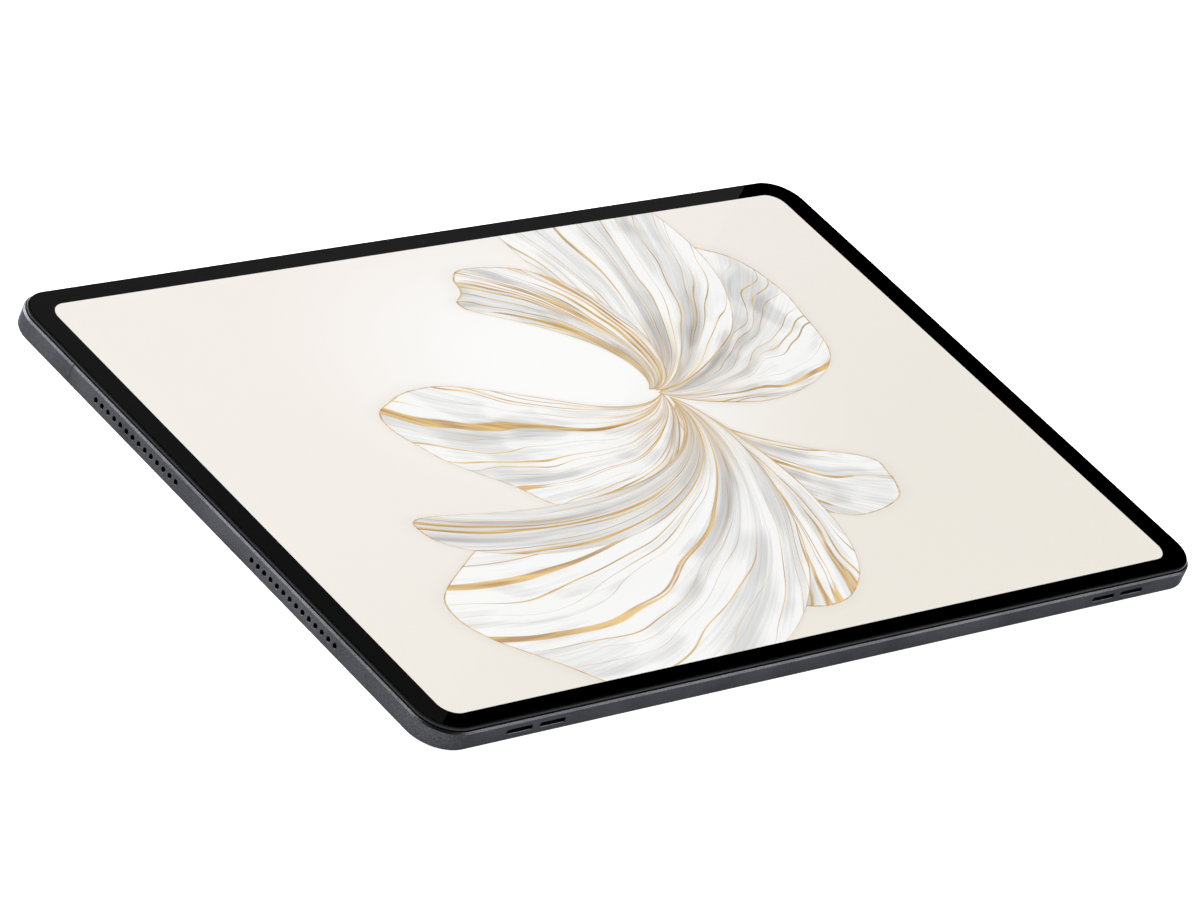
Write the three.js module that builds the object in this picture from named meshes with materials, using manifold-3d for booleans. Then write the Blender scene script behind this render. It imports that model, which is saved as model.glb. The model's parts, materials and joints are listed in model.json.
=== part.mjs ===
// A tablet computer of the 12-inch class, lying on its back with its screen up.
// Millimetres. The origin is the middle of the rear face. +X runs along the long side to the
// right, +Y runs to the long side with the front camera, and +Z runs out of the screen.

import * as THREE from 'three';
import { mergeVertices } from 'three/addons/utils/BufferGeometryUtils.js';
import Module from 'manifold-3d';

const wasm = await Module();
wasm.setup();

// ---------------------------------------------------------------- driving dimensions

// Outline and height of the whole tablet.
const WIDTH = 279.4;
const DEPTH = 178.6;
const CORNER = 10.6;
const HEIGHT = 6.6;

// Housing: one milled tub. The side wall is thick below a ledge and a thin lip above it.
const REAR_WALL = 0.8;
const SIDE_WALL = 1.6;
const LIP = 0.55;
const LEDGE_Z = 4.5;
const WALL_TOP = 5.5;
const REAR_EDGE = 0.8;
const CHAMFER = 0.45;

// Screen opening in the printed border, and the display stack from the bottom up.
const SCREEN = { width: 263.1, depth: 166.2, corner: 5.0 };
const BACKLIGHT = { width: 266.0, depth: 168.0, low: 4.45, high: 5.15 };
const PANEL = { width: 265.2, depth: 167.6, low: 5.17, high: 5.62 };
const ADHESIVE = { width: 264.8, depth: 167.2, low: 5.64, high: 5.7 };
const INK = { inset: 1.0, low: 5.72, high: 5.78 };
const GLASS = { inset: 0.75, low: 5.8, edge: 0.55 };
const FRAME = { inset: 0.65, low: 4.55, high: 5.7, openWidth: 266.6, openDepth: 168.6 };

// Sound openings. Round holes in the short sides and slots in the long sides.
const PORT_Z = 2.9;
const HOLE = { radius: 0.72, pitch: 2.6, count: 14, first: 15.75 };
const SLOT = { length: 8.7, height: 1.3, inner: 100.6, outer: 111.7 };
const SPEAKER = { low: 1.0, high: 4.2, gap: 0.3 };
const SIDE_SPEAKER = { length: 36, width: 12 };
const EDGE_SPEAKER = { length: 22, width: 11 };
const DUST_MESH = 0.15;
const DUST_GAP = 0.05;

// Keys: the part outside the wall, the hole around it and the flange behind it.
const KEY = { height: 1.9, proud: 0.35, clearance: 0.15, flange: 0.5, nub: 0.3, behind: 0.3 };
const POWER = { length: 11, middle: 70.2 };
const VOLUME = { length: 22, middle: 72, reach: 8 };

// Cameras and flash.
const FRONT_CAMERA = { y: 85.6, window: 0.8, barrel: 1.25, half: 1.8 };
const REAR_CAMERA = { x: 124.5, y: 71, glass: 6.55, seat: 6.7, ring: 8.0, flange: 9.0, half: 6 };
const FLASH = { x: 108, y: 67.5, radius: 2.35, flange: 3.0 };
const TRIM_CLEARANCE = 0.15;

// USB-C receptacle in the middle of the right side.
const USB = { width: 8.94, height: 3.16, z: 2.75, shell: 0.3, length: 7.3, recess: 0.4 };

// Aerial breaks: narrow moulded strips that cut the side wall.
const BREAK = { gap: 0.5, strip: 0.4, sideY: 60.7, topX: 122.5 };

// Boards, cells and fasteners.
const CELL = { width: 96, depth: 110, gap: 8, y: -15, low: 0.95, high: 3.65 };
const BOARD = { left: -90, right: 100, low: 2.0, high: 2.8, front: 47, back: 82 };
const SCREW = { shank: 0.7, head: 1.7, hole: 0.95, boss: 2.2, headHeight: 0.6 };
const MICROPHONE = { x: 34, radius: 0.45 };

// Steps on a quarter turn: fine for what shows and coarse for what is inside.
const CURVE = 4;
const COARSE = 2;
const ROUND = 16;
const BEYOND = 2;

// ---------------------------------------------------------------- shapes

function roundedRect(width, depth, radius, x = 0, y = 0) {
  const right = x + width / 2;
  const left = x - width / 2;
  const back = y + depth / 2;
  const front = y - depth / 2;
  const shape = new THREE.Shape();
  shape.moveTo(left + radius, front);
  shape.absarc(right - radius, front + radius, radius, -Math.PI / 2, 0, false);
  shape.absarc(right - radius, back - radius, radius, 0, Math.PI / 2, false);
  shape.absarc(left + radius, back - radius, radius, Math.PI / 2, Math.PI, false);
  shape.absarc(left + radius, front + radius, radius, Math.PI, Math.PI * 1.5, false);
  shape.closePath();
  return shape;
}

// The tablet's outline moved inwards by an inset.
function outline(inset) {
  return roundedRect(WIDTH - 2 * inset, DEPTH - 2 * inset, CORNER - inset);
}

function extrude(shape, low, high, curveSegments = CURVE) {
  const options = { depth: high - low, bevelEnabled: false, curveSegments };
  return new THREE.ExtrudeGeometry(shape, options).translate(0, 0, low);
}

// An extrusion whose two ends are eased by the same bevel, inside the stated size.
function easedExtrude(shape, low, high, size, steps, curveSegments = CURVE) {
  const options = {
    depth: high - low - 2 * size,
    curveSegments,
    bevelThickness: size,
    bevelSize: size,
    bevelOffset: -size,
    bevelSegments: steps,
  };
  return new THREE.ExtrudeGeometry(shape, options).translate(0, 0, low + size);
}

function block(xs, ys, zs) {
  const box = new THREE.BoxGeometry(xs[1] - xs[0], ys[1] - ys[0], zs[1] - zs[0]);
  return box.translate((xs[0] + xs[1]) / 2, (ys[0] + ys[1]) / 2, (zs[0] + zs[1]) / 2);
}

function post(radius, x, y, low, high, sides = ROUND) {
  const cylinder = new THREE.CylinderGeometry(radius, radius, high - low, sides);
  return cylinder.rotateX(Math.PI / 2).translate(x, y, (low + high) / 2);
}

// A body of revolution about an axis along Z, from [radius, z] points that close on the axis
// or on themselves.
function turned(points, x, y) {
  const profile = points.map(([radius, z]) => new THREE.Vector2(radius, z));
  return new THREE.LatheGeometry(profile, ROUND * 2).rotateX(Math.PI / 2).translate(x, y, 0);
}

// A round-ended bar lying along Y, extruded along X from one x to another.
function barAlongX(length, height, y, z, from, to) {
  const shape = roundedRect(length, height, height / 2 - 0.001);
  const bar = extrude(shape, from, to);
  bar.rotateZ(Math.PI / 2);
  return bar.rotateY(Math.PI / 2).translate(0, y, z);
}

// A round-ended bar lying along X, extruded along Y from one y to another.
function barAlongY(length, height, x, z, from, to) {
  const shape = roundedRect(length, height, height / 2 - 0.001);
  return extrude(shape, -to, -from).rotateX(Math.PI / 2).translate(x, 0, z);
}

// ---------------------------------------------------------------- solids

function solid(geometry) {
  const bare = geometry.clone();
  bare.deleteAttribute('normal');
  bare.deleteAttribute('uv');
  const merged = mergeVertices(bare, 1e-5);
  const index = merged.index.array;
  const corners = [];
  for (let i = 0; i < index.length; i += 3) {
    const [a, b, c] = [index[i], index[i + 1], index[i + 2]];
    if (a !== b && b !== c && c !== a) corners.push(a, b, c);
  }
  const mesh = new wasm.Mesh({
    numProp: 3,
    vertProperties: Float32Array.from(merged.attributes.position.array),
    triVerts: Uint32Array.from(corners),
  });
  return new wasm.Manifold(mesh);
}

function cut(body, ...tools) {
  return tools.reduce((rest, tool) => rest.subtract(solid(tool)), body);
}

function join(...geometries) {
  const [first, ...others] = geometries.map(solid);
  return others.reduce((whole, other) => whole.add(other), first);
}

const tablet = new THREE.Group();

function piece(name, body, finish) {
  const { vertProperties, triVerts } = body.getMesh();
  const geometry = new THREE.BufferGeometry();
  geometry.setAttribute('position', new THREE.BufferAttribute(vertProperties, 3));
  geometry.setIndex(new THREE.BufferAttribute(triVerts, 1));
  geometry.computeVertexNormals();
  const mesh = new THREE.Mesh(geometry, new THREE.MeshStandardMaterial(finish));
  mesh.name = name;
  tablet.add(mesh);
}

// ---------------------------------------------------------------- finishes

const FINISH = {
  anodised: { color: 0x66676c, roughness: 0.42, metalness: 0.9 },
  blackPlastic: { color: 0x131314, roughness: 0.5, metalness: 0 },
  glass: { color: 0x101214, roughness: 0.03, metalness: 0 },
  ink: { color: 0x050506, roughness: 0.35, metalness: 0 },
  display: { color: 0xf0ece4, roughness: 0.3, metalness: 0 },
  film: { color: 0xd8d8d8, roughness: 0.3, metalness: 0 },
  steel: { color: 0xa9abad, roughness: 0.35, metalness: 1 },
  board: { color: 0x14361f, roughness: 0.55, metalness: 0 },
  flex: { color: 0x6a4314, roughness: 0.45, metalness: 0 },
  pouch: { color: 0x2b2c30, roughness: 0.6, metalness: 0 },
  graphite: { color: 0x2e3033, roughness: 0.5, metalness: 0.3 },
  weave: { color: 0x1b1b1d, roughness: 0.8, metalness: 0.2 },
  lens: { color: 0x0a0f18, roughness: 0.05, metalness: 0 },
  antenna: { color: 0x4b4c50, roughness: 0.6, metalness: 0 },
};

// ---------------------------------------------------------------- housing

// The wall's outer form: rounded at the rear edge and chamfered at the front edge.
function outerForm() {
  const rounded = solid(easedExtrude(outline(0), 0, WALL_TOP + BEYOND, REAR_EDGE, 4));
  const chamfered = solid(easedExtrude(outline(0), -BEYOND, WALL_TOP, CHAMFER, 1));
  return rounded.intersect(chamfered);
}

function hollowForm() {
  const cavity = extrude(outline(SIDE_WALL), REAR_WALL, WALL_TOP + BEYOND);
  const rabbet = extrude(outline(LIP), LEDGE_Z, WALL_TOP + BEYOND);
  return cut(outerForm(), cavity, rabbet);
}

const screwPlaces = [
  [BOARD.left + 4, BOARD.front + 4],
  [BOARD.left + 4, BOARD.back - 12],
  [-24, BOARD.back - 4],
  [22, BOARD.front + 4],
  [62, BOARD.back - 4],
  [BOARD.right - 4, BOARD.front + 4],
];

// The places of the sound holes along Y, counted outwards from the middle of a short side.
function holeRows() {
  const rows = [];
  for (const end of [-1, 1]) {
    for (let i = 0; i < HOLE.count; i++) rows.push(end * (HOLE.first + i * HOLE.pitch));
  }
  return rows;
}

function soundOpenings() {
  const tools = [];
  for (const side of [-1, 1]) {
    const inner = WIDTH / 2 - SIDE_WALL - BEYOND / 2;
    const outer = WIDTH / 2 + BEYOND;
    for (const y of holeRows()) {
      const drill = new THREE.CylinderGeometry(HOLE.radius, HOLE.radius, outer - inner, 10);
      tools.push(drill.rotateZ(Math.PI / 2).translate((side * (inner + outer)) / 2, y, PORT_Z));
    }
    const near = DEPTH / 2 - SIDE_WALL - BEYOND / 2;
    const far = DEPTH / 2 + BEYOND;
    for (const x of [-SLOT.outer, -SLOT.inner, SLOT.inner, SLOT.outer]) {
      const from = side > 0 ? near : -far;
      const to = side > 0 ? far : -near;
      tools.push(barAlongY(SLOT.length, SLOT.height, x, PORT_Z, from, to));
    }
  }
  return tools;
}

function keyAndPortOpenings() {
  const inX = WIDTH / 2 - SIDE_WALL - BEYOND / 2;
  const outX = WIDTH / 2 + BEYOND;
  const inY = DEPTH / 2 - SIDE_WALL - BEYOND / 2;
  const outY = DEPTH / 2 + BEYOND;
  const tall = KEY.height + 2 * KEY.clearance;
  const powerLength = POWER.length + 2 * KEY.clearance;
  const volumeLength = VOLUME.length + 2 * KEY.clearance;
  const portLength = USB.width + 2 * TRIM_CLEARANCE;
  const portHeight = USB.height + 2 * TRIM_CLEARANCE;
  const tools = [
    barAlongX(powerLength, tall, POWER.middle, PORT_Z, inX, outX),
    barAlongY(volumeLength, tall, VOLUME.middle, PORT_Z, inY, outY),
    barAlongX(portLength, portHeight, 0, USB.z, inX, outX),
  ];
  for (const x of [-MICROPHONE.x, MICROPHONE.x]) {
    const drill = new THREE.CylinderGeometry(MICROPHONE.radius, MICROPHONE.radius, outY - inY, 10);
    tools.push(drill.translate(x, (inY + outY) / 2, PORT_Z));
  }
  return tools;
}

function rearOpenings() {
  const { x, y, ring } = REAR_CAMERA;
  return [
    post(ring + TRIM_CLEARANCE, x, y, -BEYOND, REAR_WALL + 1, ROUND * 2),
    post(FLASH.radius + TRIM_CLEARANCE, FLASH.x, FLASH.y, -BEYOND, REAR_WALL + 1),
  ];
}

// The four places where an aerial break crosses the wall, as boxes of a stated width.
function breakBoxes(width) {
  const half = width / 2;
  const zs = [-BEYOND, WALL_TOP + BEYOND];
  const boxes = {};
  for (const [side, sign] of [['left', -1], ['right', 1]]) {
    const ends = [sign * (WIDTH / 2 - SIDE_WALL), sign * (WIDTH / 2 + BEYOND)];
    const xs = ends.sort((a, b) => a - b);
    boxes[`antenna_insert_${side}`] = block(xs, [BREAK.sideY - half, BREAK.sideY + half], zs);
    const middle = sign * BREAK.topX;
    const ys = [DEPTH / 2 - SIDE_WALL, DEPTH / 2 + BEYOND];
    boxes[`antenna_insert_top_${side}`] = block([middle - half, middle + half], ys, zs);
  }
  return boxes;
}

function rearHousing() {
  let body = hollowForm();
  for (const [x, y] of screwPlaces) {
    const top = BOARD.low - DUST_GAP;
    body = body.add(solid(post(SCREW.boss, x, y, REAR_WALL - 0.1, top)));
    body = cut(body, post(SCREW.hole, x, y, REAR_WALL + 0.3, top + 1, 12));
  }
  const breaks = Object.values(breakBoxes(BREAK.gap));
  return cut(body, ...soundOpenings(), ...keyAndPortOpenings(), ...rearOpenings(), ...breaks);
}

piece('rear_housing', rearHousing(), FINISH.anodised);
for (const [name, box] of Object.entries(breakBoxes(BREAK.strip))) {
  piece(name, hollowForm().intersect(solid(box)), FINISH.antenna);
}

// ---------------------------------------------------------------- display stack

// Moulded frame on the housing's ledge that carries the glass, open for the display and
// notched for the front camera's barrel.
function midFrame() {
  const ring = solid(extrude(outline(FRAME.inset), FRAME.low, FRAME.high));
  const opening = roundedRect(FRAME.openWidth, FRAME.openDepth, 1.5);
  const notch = FRONT_CAMERA.barrel + 0.3;
  return cut(
    ring,
    extrude(opening, FRAME.low - 1, FRAME.high + 1),
    post(notch, 0, FRONT_CAMERA.y, FRAME.low - 1, FRAME.high + 1),
    block([-notch, notch], [FRONT_CAMERA.y - 3, FRONT_CAMERA.y], [FRAME.low - 1, FRAME.high + 1]),
  );
}

// Cover glass with an eased upper edge and square lower edge.
function coverGlass() {
  const blank = easedExtrude(outline(GLASS.inset), GLASS.low - BEYOND, HEIGHT, GLASS.edge, 4);
  const below = block([-WIDTH, WIDTH], [-DEPTH, DEPTH], [GLASS.low - 2 * BEYOND, GLASS.low]);
  return cut(solid(blank), below);
}

function borderInk() {
  const sheet = solid(extrude(outline(INK.inset), INK.low, INK.high));
  const window = roundedRect(SCREEN.width, SCREEN.depth, SCREEN.corner);
  return cut(
    sheet,
    extrude(window, INK.low - 1, INK.high + 1),
    post(FRONT_CAMERA.window, 0, FRONT_CAMERA.y, INK.low - 1, INK.high + 1),
  );
}

function layer({ width, depth, low, high }, corner) {
  return solid(extrude(roundedRect(width, depth, corner), low, high, COARSE));
}

piece('mid_frame', midFrame(), FINISH.blackPlastic);
piece('cover_glass', coverGlass(), FINISH.glass);
piece('border_ink', borderInk(), FINISH.ink);
piece('display_adhesive', layer(ADHESIVE, 1), FINISH.film);
piece('display_panel', layer(PANEL, 1), FINISH.display);
piece('backlight_unit', layer(BACKLIGHT, 1.2), FINISH.steel);

// ---------------------------------------------------------------- sound

// A speaker box with an oval diaphragm recess in its top and a port in the side that faces
// the wall. It is drawn with its length along X and its port towards +Y.
function speakerBox(length, width) {
  const radius = 1.5;
  const { low, high } = SPEAKER;
  const box = solid(easedExtrude(roundedRect(length, width, radius), low, high, 0.3, 1, COARSE));
  const oval = roundedRect(length * 0.55, width * 0.6, width * 0.29);
  const port = [[-length * 0.42, length * 0.42], [width / 2 - 1.2, width / 2 + 1], [2.1, 3.7]];
  return cut(box, extrude(oval, high - 0.5, high + 1, COARSE), block(...port));
}

function meshStrip(length, width) {
  const away = width / 2 + SPEAKER.gap;
  const thick = DUST_MESH;
  const strip = block([-length / 2, length / 2], [away - DUST_GAP - thick, away - DUST_GAP], [1.6, 4.1]);
  return solid(strip);
}

// Four pairs at the short sides face ±X, and four at the long sides face ±Y.
function placeSpeakers() {
  for (const [side, sx] of [['left', -1], ['right', 1]]) {
    for (const [end, sy] of [['front', -1], ['back', 1]]) {
      const sideReach = WIDTH / 2 - SIDE_WALL - SPEAKER.gap - SIDE_SPEAKER.width / 2;
      const sideMiddle = HOLE.first + ((HOLE.count - 1) * HOLE.pitch) / 2;
      const across = [sx * sideReach, sy * sideMiddle, 0];
      const turn = sx * -90;
      const sideBox = speakerBox(SIDE_SPEAKER.length, SIDE_SPEAKER.width);
      const sideMesh = meshStrip(SIDE_SPEAKER.length, SIDE_SPEAKER.width);
      piece(`speaker_${side}_${end}`, sideBox.rotate(0, 0, turn).translate(across), FINISH.blackPlastic);
      piece(`dust_mesh_${side}_${end}`, sideMesh.rotate(0, 0, turn).translate(across), FINISH.weave);

      const edgeReach = DEPTH / 2 - SIDE_WALL - SPEAKER.gap - EDGE_SPEAKER.width / 2;
      const edgeMiddle = (SLOT.inner + SLOT.outer) / 2;
      const along = [sx * edgeMiddle, sy * edgeReach, 0];
      const face = sy > 0 ? 0 : 180;
      const edgeBox = speakerBox(EDGE_SPEAKER.length, EDGE_SPEAKER.width);
      const edgeMesh = meshStrip(EDGE_SPEAKER.length, EDGE_SPEAKER.width);
      piece(`speaker_${end}_${side}`, edgeBox.rotate(0, 0, face).translate(along), FINISH.blackPlastic);
      piece(`dust_mesh_${end}_${side}`, edgeMesh.rotate(0, 0, face).translate(along), FINISH.weave);
    }
  }
}

placeSpeakers();

// ---------------------------------------------------------------- keys

const KEY_TALL = KEY.height + 1.1;

function powerKey() {
  const inside = WIDTH / 2 - SIDE_WALL - KEY.behind;
  const flangeBack = inside - KEY.flange;
  const nub = new THREE.CylinderGeometry(0.8, 0.8, KEY.nub + 0.1, 12).rotateZ(Math.PI / 2);
  return join(
    barAlongX(POWER.length, KEY.height, POWER.middle, PORT_Z, inside - 0.1, WIDTH / 2 + KEY.proud),
    barAlongX(POWER.length + 1.5, KEY_TALL, POWER.middle, PORT_Z, flangeBack, inside),
    nub.translate(flangeBack - KEY.nub / 2 + 0.05, POWER.middle, PORT_Z),
  );
}

function powerSwitch() {
  const front = WIDTH / 2 - SIDE_WALL - KEY.behind - KEY.flange - KEY.nub - 0.3;
  const ys = [POWER.middle - 2, POWER.middle + 2];
  return solid(block([front - 0.75, front], ys, [PORT_Z - 1.4, PORT_Z + 1.2]));
}

function powerBracket() {
  const front = WIDTH / 2 - SIDE_WALL - KEY.behind - KEY.flange - KEY.nub - 0.3 - 0.8;
  const ys = [POWER.middle - 7, POWER.middle + 7];
  return join(
    block([front - 0.5, front], ys, [REAR_WALL + DUST_GAP, 4.2]),
    block([front - 1.8, front - 0.4], ys, [REAR_WALL + DUST_GAP, REAR_WALL + 0.45]),
  );
}

function volumeRocker() {
  const inside = DEPTH / 2 - SIDE_WALL - KEY.behind;
  const flangeBack = inside - KEY.flange;
  const nubs = [-VOLUME.reach, 0, VOLUME.reach].map((offset) => {
    const nub = new THREE.CylinderGeometry(0.8, 0.8, KEY.nub + 0.1, 12);
    return nub.translate(VOLUME.middle + offset, flangeBack - KEY.nub / 2 + 0.05, PORT_Z);
  });
  return join(
    barAlongY(VOLUME.length, KEY.height, VOLUME.middle, PORT_Z, inside - 0.1, DEPTH / 2 + KEY.proud),
    barAlongY(VOLUME.length + 1.5, KEY_TALL, VOLUME.middle, PORT_Z, flangeBack, inside),
    ...nubs,
  );
}

const DOME_FRONT = DEPTH / 2 - SIDE_WALL - KEY.behind - KEY.flange - KEY.nub - 0.3;

function volumeSwitch(offset) {
  const middle = VOLUME.middle + offset;
  const ys = [DOME_FRONT - 0.75, DOME_FRONT];
  return solid(block([middle - 2, middle + 2], ys, [PORT_Z - 1.4, PORT_Z + 1.2]));
}

// Upright plate behind both switches, with a foot, and a post that the rocker tips about.
function volumeBracket() {
  const front = DOME_FRONT - 0.8;
  const xs = [VOLUME.middle - 12, VOLUME.middle + 12];
  const pivot = [VOLUME.middle - 0.6, VOLUME.middle + 0.6];
  return join(
    block(xs, [front - 0.5, front], [REAR_WALL + DUST_GAP, 4.2]),
    block(xs, [front - 1.8, front - 0.4], [REAR_WALL + DUST_GAP, REAR_WALL + 0.45]),
    block(pivot, [front - 0.1, DOME_FRONT + 0.2], [PORT_Z - 0.8, PORT_Z + 0.8]),
  );
}

piece('power_button', powerKey(), FINISH.anodised);
piece('power_switch', powerSwitch(), FINISH.steel);
piece('power_bracket', powerBracket(), FINISH.steel);
piece('volume_rocker', volumeRocker(), FINISH.anodised);
piece('volume_up_switch', volumeSwitch(VOLUME.reach), FINISH.steel);
piece('volume_down_switch', volumeSwitch(-VOLUME.reach), FINISH.steel);
piece('volume_bracket', volumeBracket(), FINISH.steel);

// ---------------------------------------------------------------- cameras and flash

function frontCamera() {
  const { y, barrel, half } = FRONT_CAMERA;
  return join(
    block([-half, half], [y - half, y + half], [1.2, 4.3]),
    post(barrel, 0, y, 4.2, PANEL.high),
  );
}

function rearCamera() {
  const { x, y, half } = REAR_CAMERA;
  return join(
    block([x - half, x + half], [y - half, y + half], [1.25, 4.2]),
    post(5.0, x, y, 0.75, 1.35, ROUND * 2),
    post(2.6, x, y, 4.1, 4.35),
  );
}

// Trim ring flush with the rear face, with a seat for the glass and a flange inside.
function rearCameraRing() {
  const { x, y, ring, flange, seat } = REAR_CAMERA;
  const points = [
    [seat + 0.3, 0],
    [ring, 0],
    [ring, REAR_WALL + DUST_GAP],
    [flange, REAR_WALL + DUST_GAP],
    [flange, REAR_WALL + 0.35],
    [seat - 1.2, REAR_WALL + 0.35],
    [seat - 1.2, 0.72],
    [seat, 0.72],
    [seat, 0.3],
    [seat + 0.3, 0],
  ];
  return solid(turned(points, x, y));
}

function rearCameraGlass() {
  const { x, y, glass } = REAR_CAMERA;
  return solid(post(glass, x, y, 0.15, 0.67, ROUND * 2));
}

function flashLens() {
  const { x, y, radius, flange } = FLASH;
  return join(
    post(radius, x, y, 0.05, REAR_WALL + 0.2),
    post(flange, x, y, REAR_WALL + DUST_GAP, REAR_WALL + 0.35),
  );
}

piece('front_camera_module', frontCamera(), FINISH.lens);
piece('rear_camera_module', rearCamera(), FINISH.blackPlastic);
piece('rear_camera_ring', rearCameraRing(), FINISH.anodised);
piece('rear_camera_glass', rearCameraGlass(), FINISH.lens);
piece('flash_lens', flashLens(), FINISH.film);

// ---------------------------------------------------------------- USB-C and boards

// Drawn shell with a back wall, and the contact tongue that stands out of it.
function usbReceptacle() {
  const mouth = WIDTH / 2 - USB.recess;
  const back = mouth - USB.length;
  const shell = barAlongX(USB.width, USB.height, 0, USB.z, back, mouth);
  const inner = barAlongX(
    USB.width - 2 * USB.shell, USB.height - 2 * USB.shell, 0, USB.z, back + 0.7, mouth + 1,
  );
  const tongue = block([back + 0.5, mouth - 1.0], [-3.3, 3.3], [USB.z - 0.35, USB.z + 0.35]);
  return cut(solid(shell), inner).add(solid(tongue));
}

function usbBoard() {
  const edge = WIDTH / 2 - SIDE_WALL - 1.0;
  const back = WIDTH / 2 - USB.recess - USB.length - 0.3;
  const half = USB.width / 2 + 0.3;
  const board = solid(block([122, edge], [-13, 13], [2.4, 3.0]));
  return cut(board, block([back, edge + 1], [-half, half], [1, 4]))
    .add(solid(block([123.5, 128.5], [-11, -4], [2.9, 3.7])));
}

function mainboard() {
  const { left, right, front, back, low, high } = BOARD;
  const shape = new THREE.Shape();
  shape.moveTo(left, front);
  shape.lineTo(right, front);
  shape.lineTo(right, back - 20);
  shape.lineTo(right - 10, back - 20);
  shape.lineTo(right - 10, back);
  shape.lineTo(left + 12, back);
  shape.lineTo(left + 12, back - 8);
  shape.lineTo(left, back - 8);
  shape.closePath();
  let board = solid(extrude(shape, low, high));
  const chips = [[-70, 60, 9, 12], [40, 60, 7, 7], [56, 66, 5, 5], [80, 55, 8, 6]];
  for (const [x, y, width, depth] of chips) {
    const zs = [high - 0.1, high + 0.8];
    board = board.add(solid(block([x - width, x + width / 3], [y - depth / 2, y + depth / 2], zs)));
  }
  return cut(board, ...screwPlaces.map(([x, y]) => post(SCREW.hole, x, y, low - 1, high + 1, 12)));
}

// Drawn steel lid, open underneath.
function shieldCan(xs, ys) {
  const low = BOARD.high + DUST_GAP;
  const sheet = 0.25;
  const high = 3.85;
  const inner = block(
    [xs[0] + sheet, xs[1] - sheet], [ys[0] + sheet, ys[1] - sheet], [low - 1, high - sheet],
  );
  return cut(solid(block(xs, ys, [low, high])), inner);
}

function driverBoard() {
  const strip = block([-70, 70], [-82, -75], [2.2, 2.9]);
  const connector = block([-11, 11], [-80.5, -77], [2.8, 3.7]);
  return join(strip, connector);
}

// Ribbon over the cells from the driver board to the mainboard, with a connector at its end.
function displayFlex() {
  const ribbon = block([-10, 10], [-81, 56], [3.9, 4.05]);
  const plug = block([-9, 9], [52, 55.5], [2.9, 3.95]);
  return join(ribbon, plug);
}

function linkFlex() {
  const shape = new THREE.Shape();
  shape.moveTo(104, 56);
  shape.lineTo(92, 56);
  shape.lineTo(92, 50);
  shape.lineTo(104, 50);
  shape.lineTo(104, -12);
  shape.lineTo(128, -12);
  shape.lineTo(128, -3);
  shape.lineTo(112, -3);
  shape.lineTo(112, 56);
  shape.closePath();
  return solid(extrude(shape, 3.9, 4.05));
}

// Pouch cell with eased edges.
function cell(side) {
  const { width, depth, gap, y, low, high } = CELL;
  const middle = (side * (width + gap)) / 2;
  return solid(easedExtrude(roundedRect(width, depth, 3, middle, y), low, high, 0.6, 2, COARSE));
}

function batteryBoard() {
  const low = 1.2;
  const back = CELL.y + CELL.depth / 2;
  const reach = CELL.width + CELL.gap / 2;
  return join(
    block([-reach, reach], [back + 0.4, back + 5], [low, low + 0.8]),
    block([-16, 16], [back + 1, back + 4.4], [low + 0.7, low + 1.9]),
  );
}

piece('usb_c_receptacle', usbReceptacle(), FINISH.steel);
piece('usb_board', usbBoard(), FINISH.board);
piece('link_flex', linkFlex(), FINISH.flex);
piece('mainboard', mainboard(), FINISH.board);
piece('shield_can_processor', shieldCan([-58, -30], [52, 77]), FINISH.steel);
piece('shield_can_memory', shieldCan([-20, 16], [58, 76]), FINISH.steel);
piece('shield_can_radio', shieldCan([66, 86], [62, 76]), FINISH.steel);
piece('graphite_sheet', solid(block([-60, 18], [58, 76], [3.9, 4.0])), FINISH.graphite);
piece('display_driver_board', driverBoard(), FINISH.board);
piece('display_flex', displayFlex(), FINISH.flex);
piece('battery_left', cell(-1), FINISH.pouch);
piece('battery_right', cell(1), FINISH.pouch);
piece('battery_board', batteryBoard(), FINISH.board);

// ---------------------------------------------------------------- microphones and screws

function microphone(x) {
  const front = DEPTH / 2 - SIDE_WALL - 0.1;
  const can = solid(block([x - 1.8, x + 1.8], [front - 2.6, front], [2.2, 3.4]));
  const port = new THREE.CylinderGeometry(MICROPHONE.radius, MICROPHONE.radius, 1.6, 10);
  return cut(can, port.translate(x, front, PORT_Z));
}

// Pan-head screw with a cross recess, through the board into its boss.
function screw([x, y]) {
  const seat = BOARD.high + DUST_GAP;
  const top = seat + SCREW.headHeight;
  const head = join(post(SCREW.shank, x, y, 1.25, seat + 0.1, 10), post(SCREW.head, x, y, seat, top));
  const long = 0.9;
  const wide = 0.2;
  const zs = [top - 0.3, top + 1];
  return cut(
    head,
    block([x - long, x + long], [y - wide, y + wide], zs),
    block([x - wide, x + wide], [y - long, y + long], zs),
  );
}

piece('microphone_left', microphone(-MICROPHONE.x), FINISH.steel);
piece('microphone_right', microphone(MICROPHONE.x), FINISH.steel);
screwPlaces.forEach((place, i) => piece(`board_screw_${i + 1}`, screw(place), FINISH.steel));

export default tablet;
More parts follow.
